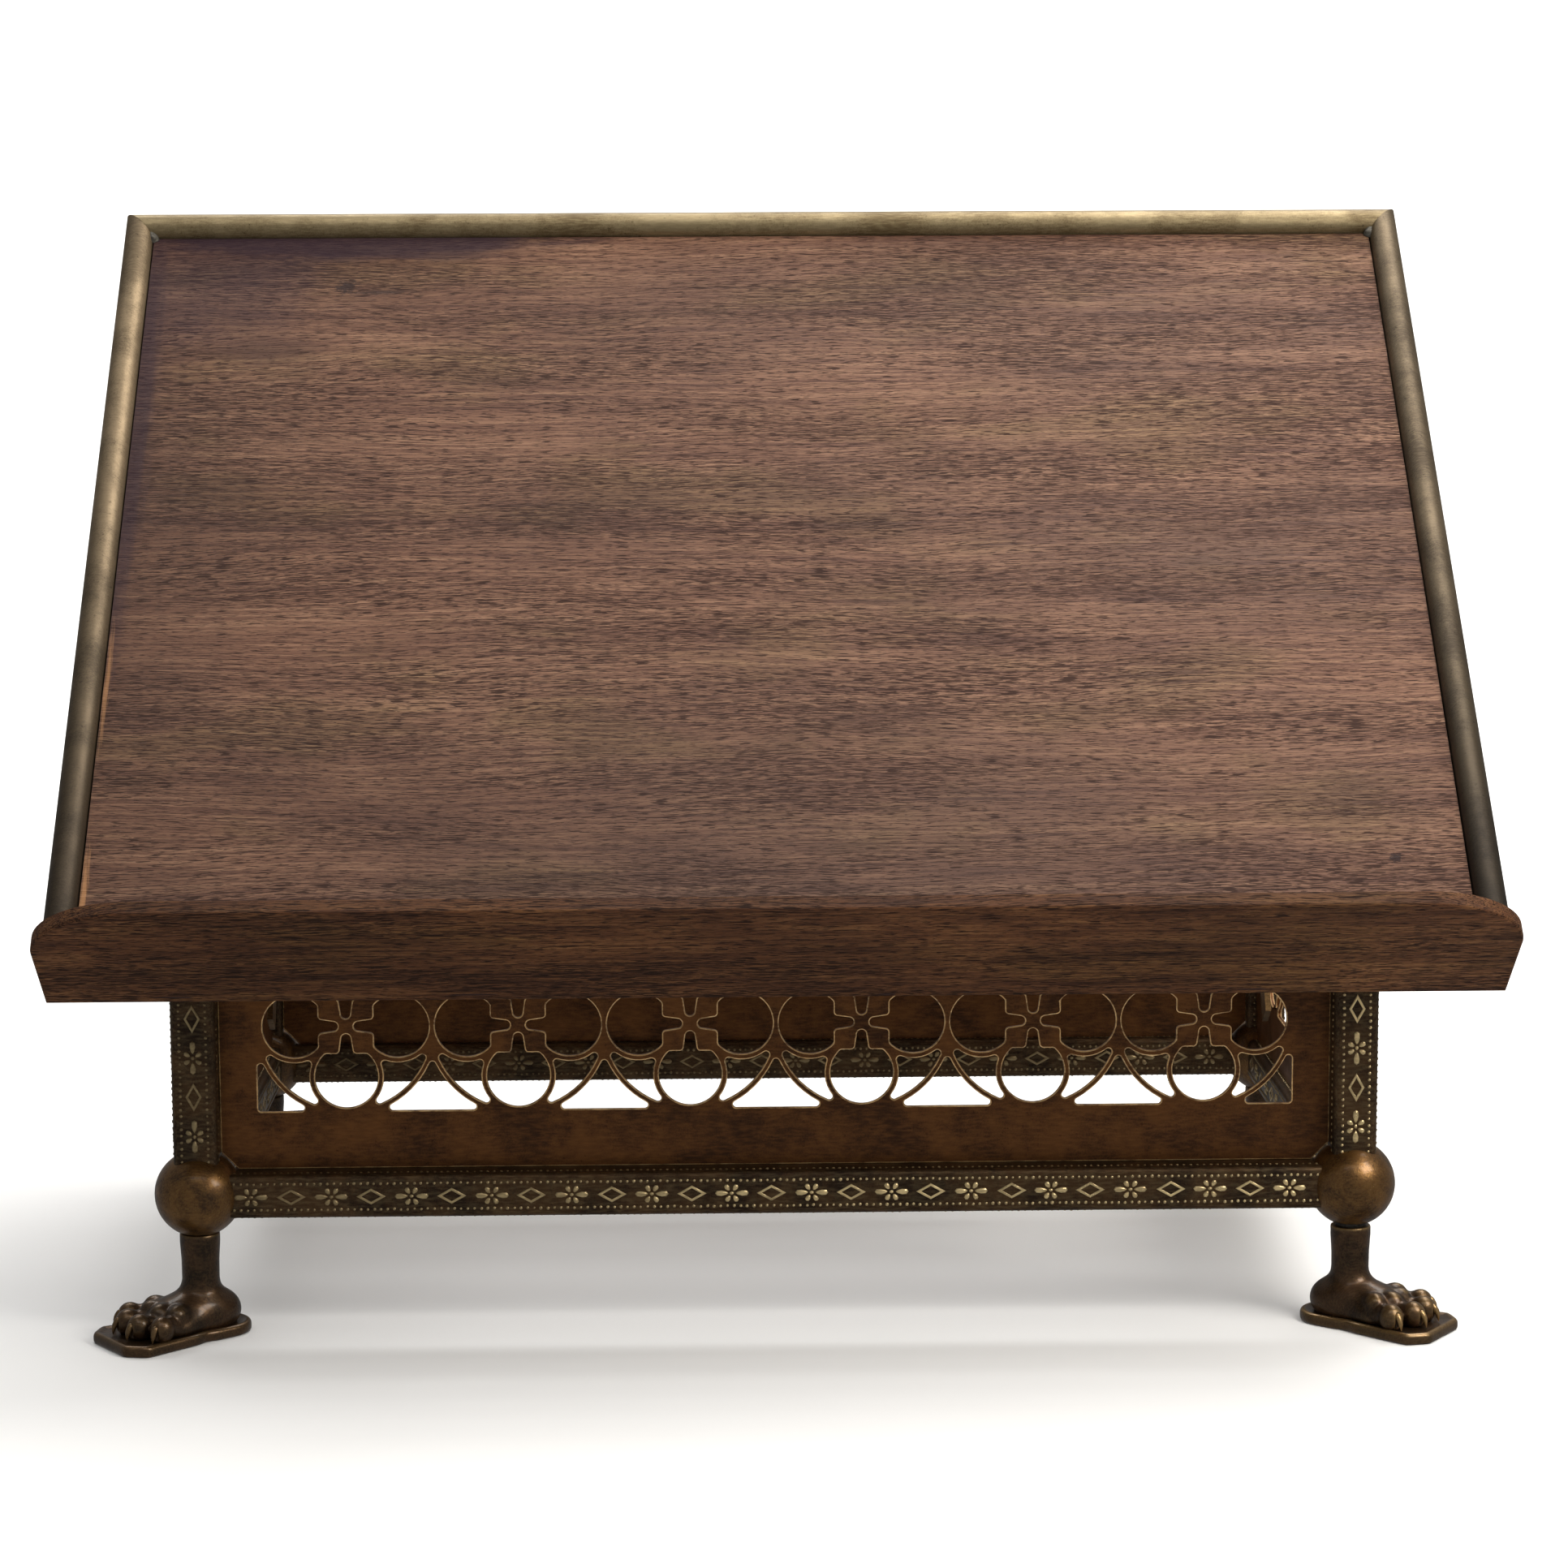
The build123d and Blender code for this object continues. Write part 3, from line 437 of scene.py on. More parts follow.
def wood(name, dark, mid, light, pore_tint, marks=(), roughness=0.5):
    """Dry, once-polished hardwood. marks are (tint, strength, centre, size, ragged, soft).

    Streaks pass from dark to light, clouds deepen them and turn them olive, pores darken them.
    The pattern runs in the board's own frame: X across, Y up the slope, Z off the face.
    """
    material, n, surface, place = start_material(name, Specular_IOR_Level=0.2)
    flat = n.stretch(place, (1 / MM, 1 / MM, 1 / MM), (0, 0, 0), (-SLOPE, 0, 0))
    grain = n.group(grain_group, {"Vector": flat})
    tone = n.ramp(grain["Streak"], 0.36, 0.64, smooth=False)
    tint = n.mix(n.ramp(tone, 0.0, 0.5, smooth=False), dark, mid)
    tint = n.mix(n.ramp(tone, 0.5, 1.0, smooth=False), tint, light)
    tint = n.mix(n.ramp(grain["Cloud"], 0.40, 0.62), tint, CLOUD_SHADE, "MULTIPLY")
    olive = n.noise(n.stretch(flat, (0.012, 0.03, 0.03), (3, 8, 0)), 1.0, 3.0, 0.6)
    tint = n.mix(n.ramp(olive, 0.50, 0.66), tint, OLIVE_SHADE, "MULTIPLY")
    tint = n.mix(n.math("MULTIPLY", grain["Pore"], 0.92), tint, pore_tint)
    for shade, strength, centre, size, ragged, soft in marks:
        spot = {"Vector": flat, "Centre": centre, "Size": size, "Ragged": ragged, "Soft": soft}
        mask = n.group(spot_group, spot)["Mask"]
        tint = n.mix(n.math("MULTIPLY", mask, strength), tint, shade)
    connect(n, surface, "Base Color", tint)
    gloss = n.math("SUBTRACT", roughness + 0.12, n.math("MULTIPLY", grain["Cloud"], 0.2))
    connect(n, surface, "Roughness", n.math("ADD", gloss, n.math("MULTIPLY", grain["Pore"], 0.25)))
    bump(n, surface, grain["Height"], 0.55, 0.25)
    return material


# Painted shade: the side edging's tint is multiplied by this towards the bottom of the board, where the
# light falls off.
FALLOFF_SHADE_TINT = (0.20, 0.19, 0.18, 1.0)


def brass(
    name, ground, tarnish, bright, wear, roughness, metallic, cloud, relief,
    use_tone=False, lacquer=0.0, painted_shade_below=None,
):
    """Patinated brass: ground under cloudy tarnish, bright metal where it is rubbed.

    wear is the share of bright metal everywhere; with use_tone the piece's tone adds to it, most at the
    front and to the right.
    The last argument is a pair of heights: the tint deepens from the upper one to the lower one, painted
    shade where the light falls off down the board.
    """
    material, n, surface, place = start_material(name, Coat_Weight=lacquer, Coat_Roughness=0.16)
    flat = n.stretch(place, (1 / MM, 1 / MM, 1 / MM))
    patina = n.group(patina_group, {"Vector": flat, "Cloud size": cloud})
    tarnished = n.math("ADD", patina["Cloud"], n.math("MULTIPLY", patina["Grit"], 0.45))
    tint = n.mix(n.ramp(tarnished, 0.58, 0.90), ground, tarnish)
    tint = n.mix(n.math("MULTIPLY", patina["Speck"], 0.6), tint, tarnish, "MULTIPLY")
    rubbed = n.math("MULTIPLY", n.ramp(patina["Rub"], 0.35, 0.75), wear)
    if use_tone:
        tone = n.add("ShaderNodeAttribute", attribute_name="tone").outputs["Fac"]
        side = n.add("ShaderNodeSeparateXYZ", {"Vector": flat}).outputs
        uneven = n.math("ADD", patina["Cloud"], n.math("MULTIPLY", patina["Rub"], 0.6))
        patchy = n.ramp(uneven, 0.55, 0.95, 0.55, 1.0)
        # bright metal is given more to the right and to the front
        to_right = n.ramp(side["X"], -215.0, 60.0, 0.3, 1.0)
        to_rear = n.ramp(side["Y"], -60.0, 110.0, 1.0, 0.4)
        right_front_share = n.math("MULTIPLY", to_right, to_rear)
        worn = n.math("MULTIPLY", n.math("MULTIPLY", tone, patchy), right_front_share)
        rubbed = n.math("ADD", rubbed, worn, clamp=True)
    tint = n.mix(rubbed, tint, bright)
    # painted shade: darker lower down the board, where the light falls off
    if painted_shade_below:
        height = n.add("ShaderNodeSeparateXYZ", {"Vector": flat}).outputs["Z"]
        tint = n.mix(n.ramp(height, *painted_shade_below, 1.0, 0.0), tint, FALLOFF_SHADE_TINT, "MULTIPLY")
    connect(n, surface, "Base Color", tint)
    surface["Metallic"].default_value = metallic
    clouded = n.math("MULTIPLY", n.math("SUBTRACT", patina["Cloud"], 0.5), 0.5)
    polished = n.math("MULTIPLY", rubbed, 0.14)
    rough = n.math("SUBTRACT", n.math("ADD", roughness, clouded), polished)
    specks = n.math("MULTIPLY", patina["Speck"], 0.2)
    connect(n, surface, "Roughness", n.math("ADD", rough, specks, clamp=True))
    bump(n, surface, patina["Height"], relief, 0.3)
    return material


# ---------------------------------------------------------------- finishes
board_up, board_off = board_reach("reading_board")
ledge_up, ledge_off = board_reach("ledge")
half_wood = span("reading_board", 0) / 2
hinge_flat = np.array((0.0, hinge_point @ UP_SLOPE, hinge_point @ OFF_BOARD))


def board_mark(x, along, above=board_off[1]):
    """A place on the board, in the turned space that its wood pattern uses."""
    return (x, along + hinge_flat[1], above + hinge_flat[2])


STAIN = colour(44, 27, 35)
KNOT = colour(40, 24, 20)
HONEY = colour(196, 142, 92)
LOW_LEFT_SHADE = colour(38, 25, 19)
board_marks = [
    # The first two marks are painted shade: the board darkens towards its bottom and its left side, where
    # the light falls off.
    (LOW_LEFT_SHADE, 0.36, board_mark(0, board_up[0] - 20), (330, 150, 30), 0.3, 1.0),
    (LOW_LEFT_SHADE, 0.30, board_mark(-half_wood - 30, 100), (120, 300, 30), 0.3, 1.0),
    (STAIN, 0.85, board_mark(-half_wood + 78, board_up[1] + 1), (92, 15, 30), 0.45, 0.45),
    (STAIN, 0.7, board_mark(-half_wood, board_up[1] - 90), (9, 140, 30), 0.35, 0.6),
    (STAIN, 0.5, board_mark(-half_wood + 22, board_up[1] - 22), (64, 46, 30), 0.6, 0.8),
    (colour(70, 46, 36), 0.45, board_mark(-half_wood + 45, 215), (34, 12, 30), 0.8, 0.9),
    (colour(70, 46, 36), 0.35, board_mark(150, 120), (46, 14, 30), 0.8, 0.9),
    (KNOT, 0.9, board_mark(-149, 246), (5.0, 4.4, 20), 1.1, 0.7),
    (KNOT, 0.7, board_mark(-137, 243), (14.0, 1.3, 20), 0.9, 0.7),
    (KNOT, 0.95, board_mark(197, -16), (2.6, 2.0, 20), 1.2, 0.5),
    (HONEY, 0.5, board_mark(-half_wood + 1, -30), (1.6, 26, 20), 0.9, 0.8),
    (HONEY, 0.35, board_mark(-half_wood + 1, 60), (1.2, 30, 20), 0.9, 0.8),
]
board_wood = wood(
    "Board wood", colour(82, 52, 38), colour(108, 75, 56), colour(132, 98, 75), colour(42, 24, 17),
    board_marks, 0.55,
)
ledge_marks = [
    (KNOT, 0.95, board_mark(x, ledge_up[0], ledge_off[0] + rise), (length, 4.0, 0.6), 0.25, 0.4)
    for x, rise, length in (
        (-190, 3.0, 8.0), (-96, 3.2, 9.0), (34, 1.6, 4.0), (60, 2.2, 3.0), (150, 2.6, 6.0),
    )
]
# The ledge wood has its own yellower tone and is darkened further as painted shade for its face, which
# looks down and forward.
ledge_wood_painted_shade = wood(
    "Ledge wood, painted shade", colour(60, 32, 12), colour(84, 50, 23), colour(104, 69, 37), colour(28, 14, 6),
    ledge_marks, 0.62,
)
dowel_wood = wood(
    "Dowel wood", colour(150, 116, 84), colour(176, 140, 104), colour(196, 160, 124),
    colour(110, 80, 56),
)

tube_brass = brass(
    "Chased tube brass", colour(82, 59, 36), colour(44, 30, 19), colour(246, 220, 164),
    wear=0.06, roughness=0.44, metallic=0.75, cloud=14.0, relief=0.3, use_tone=True,
)
gallery_brass = brass(
    "Gallery sheet brass", colour(108, 68, 32), colour(66, 40, 21), colour(150, 96, 48),
    wear=0.3, roughness=0.48, metallic=0.7, cloud=18.0, relief=0.35,
)
# Rounded edges of the gallery sheets: worn metal, lightened further as a painted highlight.
gallery_edge_wear_and_highlight = brass(
    "Gallery edge, wear and painted highlight", colour(206, 162, 104), colour(110, 76, 44), colour(240, 208, 152),
    wear=0.6, roughness=0.5, metallic=0.3, cloud=7.0, relief=0.15,
)
ball_brass = brass(
    "Ball brass", colour(116, 82, 42), colour(60, 40, 22), colour(182, 142, 84),
    wear=0.16, roughness=0.36, metallic=0.8, cloud=10.0, relief=0.5, lacquer=0.3,
)
foot_bronze = brass(
    "Paw bronze", colour(76, 54, 35), colour(42, 30, 19), colour(208, 170, 112),
    wear=0.06, roughness=0.38, metallic=0.8, cloud=10.0, relief=0.4, use_tone=True, lacquer=0.25,
)
# The two side lengths are one brass, the left painted lighter and the right painted darker: painted light
# and shade.
left_edging_lit_brass = brass(
    "Left edging brass", colour(138, 118, 90), colour(94, 78, 56), colour(176, 158, 122),
    wear=0.16, roughness=0.52, metallic=0.7, cloud=26.0, relief=0.25, painted_shade_below=(150.0, 340.0),
)
right_edging_shaded_brass = brass(
    "Right edging brass", colour(98, 84, 64), colour(66, 54, 39), colour(140, 124, 94),
    wear=0.16, roughness=0.52, metallic=0.7, cloud=26.0, relief=0.25, painted_shade_below=(130.0, 300.0),
)
edging_top_brass = brass(
    "Polished edging brass", colour(134, 118, 88), colour(98, 82, 56), colour(180, 164, 124),
    wear=0.25, roughness=0.5, metallic=0.75, cloud=30.0, relief=0.25,
)
edging_joint = brass(
    "Edging solder", colour(94, 90, 82), colour(60, 56, 49), colour(140, 136, 126),
    wear=0.3, roughness=0.5, metallic=0.8, cloud=3.0, relief=0.6,
)
patinated_brass = brass(
    "Dull fittings brass", colour(116, 88, 52), colour(66, 48, 30), colour(190, 156, 104),
    wear=0.15, roughness=0.42, metallic=0.85, cloud=12.0, relief=0.25,
)
dark_fastener = brass(
    "Dark steel", colour(70, 66, 60), colour(42, 38, 34), colour(130, 126, 118),
    wear=0.2, roughness=0.4, metallic=0.9, cloud=5.0, relief=0.3,
)


# ---------------------------------------------------------------- chased tubes
def unit_dome(sides, rings):
    """Upper half of a ball of radius 1 as rings of points and one at the top."""
    radius = np.asarray(rings, float)[:, None]
    turn = np.arange(sides) / sides * 2 * pi
    height = np.sqrt(1 - radius**2) * np.ones(sides)
    ring = np.stack([radius * np.cos(turn), radius * np.sin(turn), height], -1)
    points = np.concatenate([ring.reshape(-1, 3), [(0, 0, 1)]])
    quads = grid_quads(len(rings), sides, True)
    last = (len(rings) - 1) * sides
    return points, quads, fan(len(points) - 1, np.arange(last, last + sides))


def stamp(shell, form, centres, across, along, up, tone):
    """Copies a small form to every centre: its X, Y, Z follow the three scaled directions."""
    points, quads, triangles = form
    frames = np.stack([np.broadcast_to(v, centres.shape) for v in (across, along, up)], 1)
    placed = centres[:, None, :] + np.einsum("pk,nkc->npc", points, frames)
    shift = np.arange(len(centres))[:, None, None] * len(points)
    worn = np.tile(np.interp(points[:, 2], (0, 0.5, 1), (0.25 * tone, tone, tone)), len(centres))
    shell.add(placed, (quads[None] + shift).reshape(-1, 4), (triangles[None] + shift).reshape(-1, 3), worn)


bead_form = unit_dome(6, (1.0, 0.62))
petal_form = unit_dome(8, (1.0, 0.78, 0.42))
petal_form[0][:, 1] *= 1 + 0.35 * petal_form[0][:, 0]


def lozenge_form():
    """Mitred lozenge frame: a raised profile, as scale and height, carried round four corners."""
    corners = np.array([(1, 0), (0, 1), (-1, 0), (0, -1)], float)
    profile = np.array([(1.0, 0.0), (0.93, 0.85), (0.87, 1.0), (0.76, 1.0), (0.68, 0.8), (0.63, 0.0)])
    points = [np.column_stack([corners * scale, np.full(4, rise)]) for scale, rise in profile]
    return np.concatenate(points), grid_quads(len(profile), 4, True), np.zeros((0, 3), int)


frame_form = lozenge_form()
# each petal's heading, its reach along and across the tube, and its half length and width
PETALS = [(heading, 3.35, 3.35, 2.2, 1.0) for heading in (0.0, 180.0)]
PETALS += [(heading, 2.15 * 1.05, 2.15, 1.25, 0.85) for heading in (57.0, 123.0, 237.0, 303.0)]


def chase(shell, centre, axis, normal, length, first_lozenge, motifs=True):
    """Ornament of one tube face: two rows of beads, and rosettes and lozenges in turn.

    Stations run along the axis from the middle; each raised form gets the tone of rubbed metal.
    """
    axis, normal = np.asarray(axis, float), np.asarray(normal, float)
    side = np.cross(normal, axis)
    face = np.asarray(centre, float) + normal * TUBE / 2
    ends = length / 2 - BEAD_MARGIN
    stations = np.arange(-ends, ends, BEAD_PITCH)
    stations = stations + (2 * ends - (stations[-1] - stations[0])) / 2
    for row in (-BEAD_ROW, BEAD_ROW):
        wobble = rng.normal(0, BEAD_STRAY, (len(stations), 2))
        centres = face + (stations + wobble[:, 0])[:, None] * axis + (row + wobble[:, 1])[:, None] * side
        size = BEAD_R * rng.normal(1, BEAD_SPREAD, (len(stations), 1))
        stamp(shell, bead_form, centres, side * size, axis * size, normal * size * 0.6, 0.75)
    if not motifs:
        return
    reach = length / 2 - MOTIF_MARGIN
    numbers = np.arange(-20, 21)
    lozenges = first_lozenge + numbers * MOTIF_PERIOD
    lozenges = lozenges[np.abs(lozenges) < reach]
    rosettes = first_lozenge + (numbers + 0.5) * MOTIF_PERIOD
    rosettes = rosettes[np.abs(rosettes) < reach]
    centres = face + (lozenges + rng.normal(0, 0.12, len(lozenges)))[:, None] * axis
    stamp(shell, frame_form, centres, axis * LOZENGE_LONG, -side * LOZENGE_WIDE, normal * LOZENGE_RISE, 1.0)
    for heading, along, across, long_half, short_half in PETALS:
        turn = radians(heading)
        out = axis * cos(turn) * along + side * sin(turn) * across
        centres = face + (rosettes + rng.normal(0, 0.08, len(rosettes)))[:, None] * axis + out
        pointing = axis * cos(turn) + side * sin(turn)
        level = np.cross(normal, pointing)
        stamp(shell, petal_form, centres, pointing * long_half, level * short_half, normal * 0.55, 1.0)
    stamp(shell, bead_form, face + rosettes[:, None] * axis, side * 0.62, axis * 0.8, normal * 0.5, 1.0)


def tube_wall(shell, centre, axis, first, second, length):
    """Square tube with round arrises: the section is carried along the axis and closed.

    The section is four quarter circles joined by flats; between its ends the tube is a few
    hundredths of a millimetre out of true, as drawn tube is.
    """
    half = TUBE / 2 - TUBE_ARRIS
    turn = np.linspace(0, pi / 2, 6)
    quarters = [
        np.stack([a * half + TUBE_ARRIS * np.cos(turn + s), b * half + TUBE_ARRIS * np.sin(turn + s)], -1)
        for a, b, s in ((1, 1, 0), (-1, 1, pi / 2), (-1, -1, pi), (1, -1, 3 * pi / 2))
    ]
    section = np.concatenate(quarters)
    stations = np.linspace(-length / 2, length / 2, max(3, int(length / 6)))
    sway = 0.05 * np.sin(stations * 0.045 + rng.uniform(0, 6))
    ring = section[None, :, 0, None] * first + section[None, :, 1, None] * second
    points = np.asarray(centre) + stations[:, None, None] * axis + ring + sway[:, None, None] * first
    shell.add(*closed_rings(points, centre - axis * length / 2, centre + axis * length / 2))


AXES = np.eye(3)
X, Y, Z = AXES


def make_tube(node, axis_number, plain_faces, first_lozenge):
    """One chased tube in the place of a CAD rail or post."""
    axis = AXES[axis_number]
    first, second = [v for i, v in enumerate(AXES) if i != axis_number]
    if np.dot(np.cross(first, second), axis) < 0:
        first, second = second, first
    centre, length = middle(node), span(node, axis_number)
    shell = Shell()
    tube_wall(shell, centre, axis, first, second, length)
    for normal in (first, -first, second, -second):
        plain = any(np.dot(normal, face) > 0.9 for face in plain_faces)
        chase(shell, centre, axis, normal, length, first_lozenge, not plain)
    mesh = shell.mesh(node)
    finish_piece(f"chased_{node}", mesh, "base", [tube_brass], (node,), 50.0)


for side in ("front", "rear"):
    make_tube(f"{side}_bottom_rail", 0, [Z], RAIL_LOZENGE)
    make_tube(f"{side}_top_rail", 0, [-Z], RAIL_LOZENGE)
for side in ("left", "right"):
    make_tube(f"{side}_bottom_rail", 1, [Z], SIDE_RAIL_LOZENGE)
    make_tube(f"{side}_top_rail", 1, [-Z], SIDE_RAIL_LOZENGE)
ball_z = middle("front_bottom_rail")[2]
for corner in FOOT_HEADINGS:
    inward = (X if "left" in corner else -X, Y if "front" in corner else -Y)
    post = f"{corner}_post"
    make_tube(post, 2, inward, ball_z + POST_LOZENGE_RISE - middle(post)[2])


# ---------------------------------------------------------------- balls
def revolved(profile, centre, sides=72):
    """Closed shape turned about Z: radii and heights carried round in even steps."""
    profile = np.asarray(profile, float)
    turn = np.arange(sides) / sides * 2 * pi
    radius, height = profile[1:-1, 0, None], profile[1:-1, 1, None]
    rings = np.stack([radius * np.cos(turn), radius * np.sin(turn), height * np.ones(sides)], -1)
    return closed_rings(rings + centre, centre + Z * profile[0, 1], centre + Z * profile[-1, 1])


def make_ball(corner):
    """Corner ball: a turned sphere with a flat underside for the stem."""
    node = f"{corner}_ball"
    centre = middle(f"{corner}_post") * (1, 1, 0) + (0, 0, ball_z)
    flat = -(ball_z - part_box(node)[0][2] / MM)
    low = np.arcsin(flat / BALL_R)
    lat = np.linspace(low, pi / 2, 44)[:-1]
    profile = [(0, flat), (STEM_R * 0.96, flat)]
    profile += list(np.stack([BALL_R * np.cos(lat), BALL_R * np.sin(lat)], -1)) + [(0, BALL_R)]
    shell = Shell()
    shell.add(*revolved(profile, centre))
    finish_piece(f"{node}_turned", shell.mesh(node), "base", [ball_brass], (node,), 50.0)


for corner in FOOT_HEADINGS:
    make_ball(corner)


# ---------------------------------------------------------------- paw feet
def smooth_least(a, b, blend):
    """Lesser of two fields, rounded over where they are within blend of each other."""
    share = np.clip(0.5 + 0.5 * (b - a) / blend, 0, 1)
    return b + (a - b) * share - blend * share * (1 - share)


def oval(x, y, z, centre, radii, heading=0.0):
    """Near distance to an ellipsoid: the scaled length less one, times the smallest radius."""
    c, s = cos(radians(heading)), sin(radians(heading))
    dx, dy, dz = x - centre[0], y - centre[1], z - centre[2]
    u, v = c * dx + s * dy, -s * dx + c * dy
    return (np.sqrt((u / radii[0]) ** 2 + (v / radii[1]) ** 2 + (dz / radii[2]) ** 2) - 1) * min(radii)


def surface_net(field, low, step):
    """Closed surface where a sampled field is zero.

    Each cell that the surface crosses gets one point, the mean of the crossings on its edges,
    and each grid edge that it crosses gets one quad round it.
    """
    inside = field < 0
    cells = np.array(field.shape) - 1
    total, hits = np.zeros((*cells, 3)), np.zeros(cells)
    crossings = []
    for axis in range(3):
        before = [slice(None)] * 3
        after = [slice(None)] * 3
        before[axis], after[axis] = slice(None, -1), slice(1, None)
        f0, f1 = field[tuple(before)], field[tuple(after)]
        cross = inside[tuple(before)] != inside[tuple(after)]
        share = np.where(cross, f0 / np.where(cross, f0 - f1, 1.0), 0.0)
        counts = [np.arange(k, dtype=float) for k in cross.shape]
        place = np.stack(np.meshgrid(*counts, indexing="ij"), -1)
        place[..., axis] += share
        others = [k for k in range(3) if k != axis]
        for da in (0, 1):
            for db in (0, 1):
                part = [slice(None)] * 3
                part[others[0]] = slice(da, da + cells[others[0]])
                part[others[1]] = slice(db, db + cells[others[1]])
                chosen = cross[tuple(part)]
                total += place[tuple(part)] * chosen[..., None]
                hits += chosen
        crossings.append((cross, inside[tuple(before)], others))
    filled = hits > 0
    number = np.full(cells, -1)
    number[filled] = np.arange(filled.sum())
    points = total[filled] / hits[filled][:, None] * step + low
    quads = []
    for axis, (cross, was_inside, others) in enumerate(crossings):
        at = np.argwhere(cross)
        keep = np.all((at[:, others] > 0) & (at[:, others] < cells[others]), 1)
        at = at[keep]
        corner = [at.copy() for _ in range(4)]
        for k, (da, db) in enumerate(((1, 1), (0, 1), (0, 0), (1, 0))):
            corner[k][:, others[0]] -= da
            corner[k][:, others[1]] -= db
        quad = np.stack([number[tuple(c.T)] for c in corner], -1)
        turned = was_inside[tuple(at.T)] == (axis != 1)
        quad[~turned] = quad[~turned][:, ::-1]
        quads.append(quad)
    return points, np.concatenate(quads)


TOE_HEADINGS = (-24.0, -7.8, 7.8, 24.0)
TOE_REACH = (24.6, 27.2, 27.2, 24.6)
CLAW_TONE = 0.6


def paw_field(x, y, z, top):
    """Lion paw with its ankle and stem: rounded-over union of ovals, less the nail recesses.

    The stem is a round column whose radius narrows to a waist; the heel, instep and four toes
    are ovals, each toe having a knuckle, a dip and a tip along its own heading.
    """
    heights = (0, 12, 15, 19, top - 9, top - 3, top)
    waist = np.interp(z, heights, (8.4, 7.6, 6.7, 6.15, 6.2, STEM_R, STEM_R))
    body = (np.hypot(x, y) - waist) * 0.9
    body = smooth_least(body, oval(x, y, z, (-3.4, 0, 7.6), (10.2, 9.2, 7.8)), 3.0)
    body = smooth_least(body, oval(x, y, z, (7.0, 0, 7.8), (12.0, 9.6, 7.0)), 4.0)
    body = smooth_least(body, oval(x, y, z, (13.5, 0, 5.6), (10.5, 12.2, 5.4)), 3.0)
    for heading, reach in zip(TOE_HEADINGS, TOE_REACH):
        c, s = cos(radians(heading)), sin(radians(heading))
        knuckle, dip, tip, nail = [
            (-2.0 + r * c, (3.0 + r) * s) for r in (reach - 8.4, reach - 4.2, reach, reach + 4.0)
        ]
        toe = oval(x, y, z, (*knuckle, 9.6), (4.2, 3.5, 3.8), heading)
        toe = smooth_least(toe, oval(x, y, z, (*dip, 7.2), (4.4, 3.2, 3.5), heading), 0.8)
        toe = smooth_least(toe, oval(x, y, z, (*tip, 7.0), (4.2, 4.0, 4.5), heading), 0.9)
        recess = oval(x, y, z, (*nail, 6.4), (1.7, 1.3, 3.0), heading)
        toe = np.maximum(toe, -recess)
        body = smooth_least(body, toe, 1.1)
    body = np.maximum(body, 2.6 - z)
    body = -smooth_least(-body, top - z, 0.5)
    bore = np.maximum(np.hypot(x, y) - STUD_BORE_R, top - STUD_DEPTH - z)
    return np.maximum(body, -bore)


def claw(heading, reach):
    """Hooked claw: a shrinking oval section carried along an arc that turns down."""
    c, s = cos(radians(heading)), sin(radians(heading))
    t = np.linspace(0, 1, 9)
    forward = reach + 2.6 + 2.6 * np.sin(t * 1.5)
    height = 8.4 - 4.8 * (1 - np.cos(t * 1.45)) / (1 - cos(1.45))
    radius = np.interp(t, (0, 0.25, 0.7, 1), (0.9, 1.15, 0.85, 0.12))
    turn = np.arange(10) / 10 * 2 * pi
    lean = t * 1.4
    across = radius[:, None] * np.cos(turn)
    rise = radius[:, None] * np.sin(turn)
    f = forward[:, None] + rise * np.sin(lean)[:, None]
    h = height[:, None] + rise * np.cos(lean)[:, None]
    x = -2.0 + f * c - across * s
    y = s * 3.0 + f * s + across * c
    rings = np.stack([x, y, h], -1)
    points, quads, triangles = closed_rings(rings, *rings[[0, -1]].mean(1))
    return points, quads[:, ::-1], triangles[:, ::-1]


def sole_outline():
    """Closed outline of the sole, seen from above, and its inward directions.

    Round heel, a shallow nick, sides that spread to the toes and cut front corners, rounded;
    points are spaced evenly along it.
    """
    half, toe = SOLE_WIDTH / 2 - 0.2, SOLE_TOE_WIDTH / 2
    heel_x = SOLE_HEEL_R - SOLE_BACK
    widest = SOLE_FRONT - (half - toe)
    turn = np.linspace(pi / 2, 3 * pi / 2, 25)
    heel = np.stack([heel_x + SOLE_HEEL_R * np.cos(turn), SOLE_HEEL_R * np.sin(turn)], -1)
    nick = [(0.5, -SOLE_HEEL_R - 0.6), (4.0, -SOLE_HEEL_R - 0.2), (8.0, -SOLE_HEEL_R - 2.0)]
    right = np.array([*nick, (widest, -half), (SOLE_FRONT, -toe)])
    front = np.concatenate([right, (right * (1, -1))[::-1]])
    path = np.concatenate([heel, front, heel[:1]])
    run = np.concatenate([[0], np.cumsum(np.hypot(*np.diff(path, axis=0).T))])
    even = np.linspace(0, run[-1], 241)[:-1]
    line = np.stack([np.interp(even, run, path[:, k]) for k in (0, 1)], -1)
    reach = 4
    weight = np.hanning(2 * reach + 3)[1:-1]
    weight /= weight.sum()
    line = sum(w * np.roll(line, k - reach, 0) for k, w in enumerate(weight))
    tangent = np.roll(line, -1, 0) - np.roll(line, 1, 0)
    tangent /= np.hypot(*tangent.T)[:, None]
    return line, np.stack([-tangent[:, 1], tangent[:, 0]], -1)


SOLE_RIM = [
    (1.1, 0.0), (0.4, 0.2), (0.08, 0.7), (0.0, 1.5), (0.02, 2.4), (0.14, 2.9), (0.42, 3.35),
    (0.9, 3.65), (1.5, 3.75), (2.1, 3.6), (2.8, 3.35), (3.8, 3.25),
]
SOLE_TONE = [0, 0.05, 0.12, 0.08, 0.1, 0.2, 0.34, 0.38, 0.25, 0.05, 0, 0]


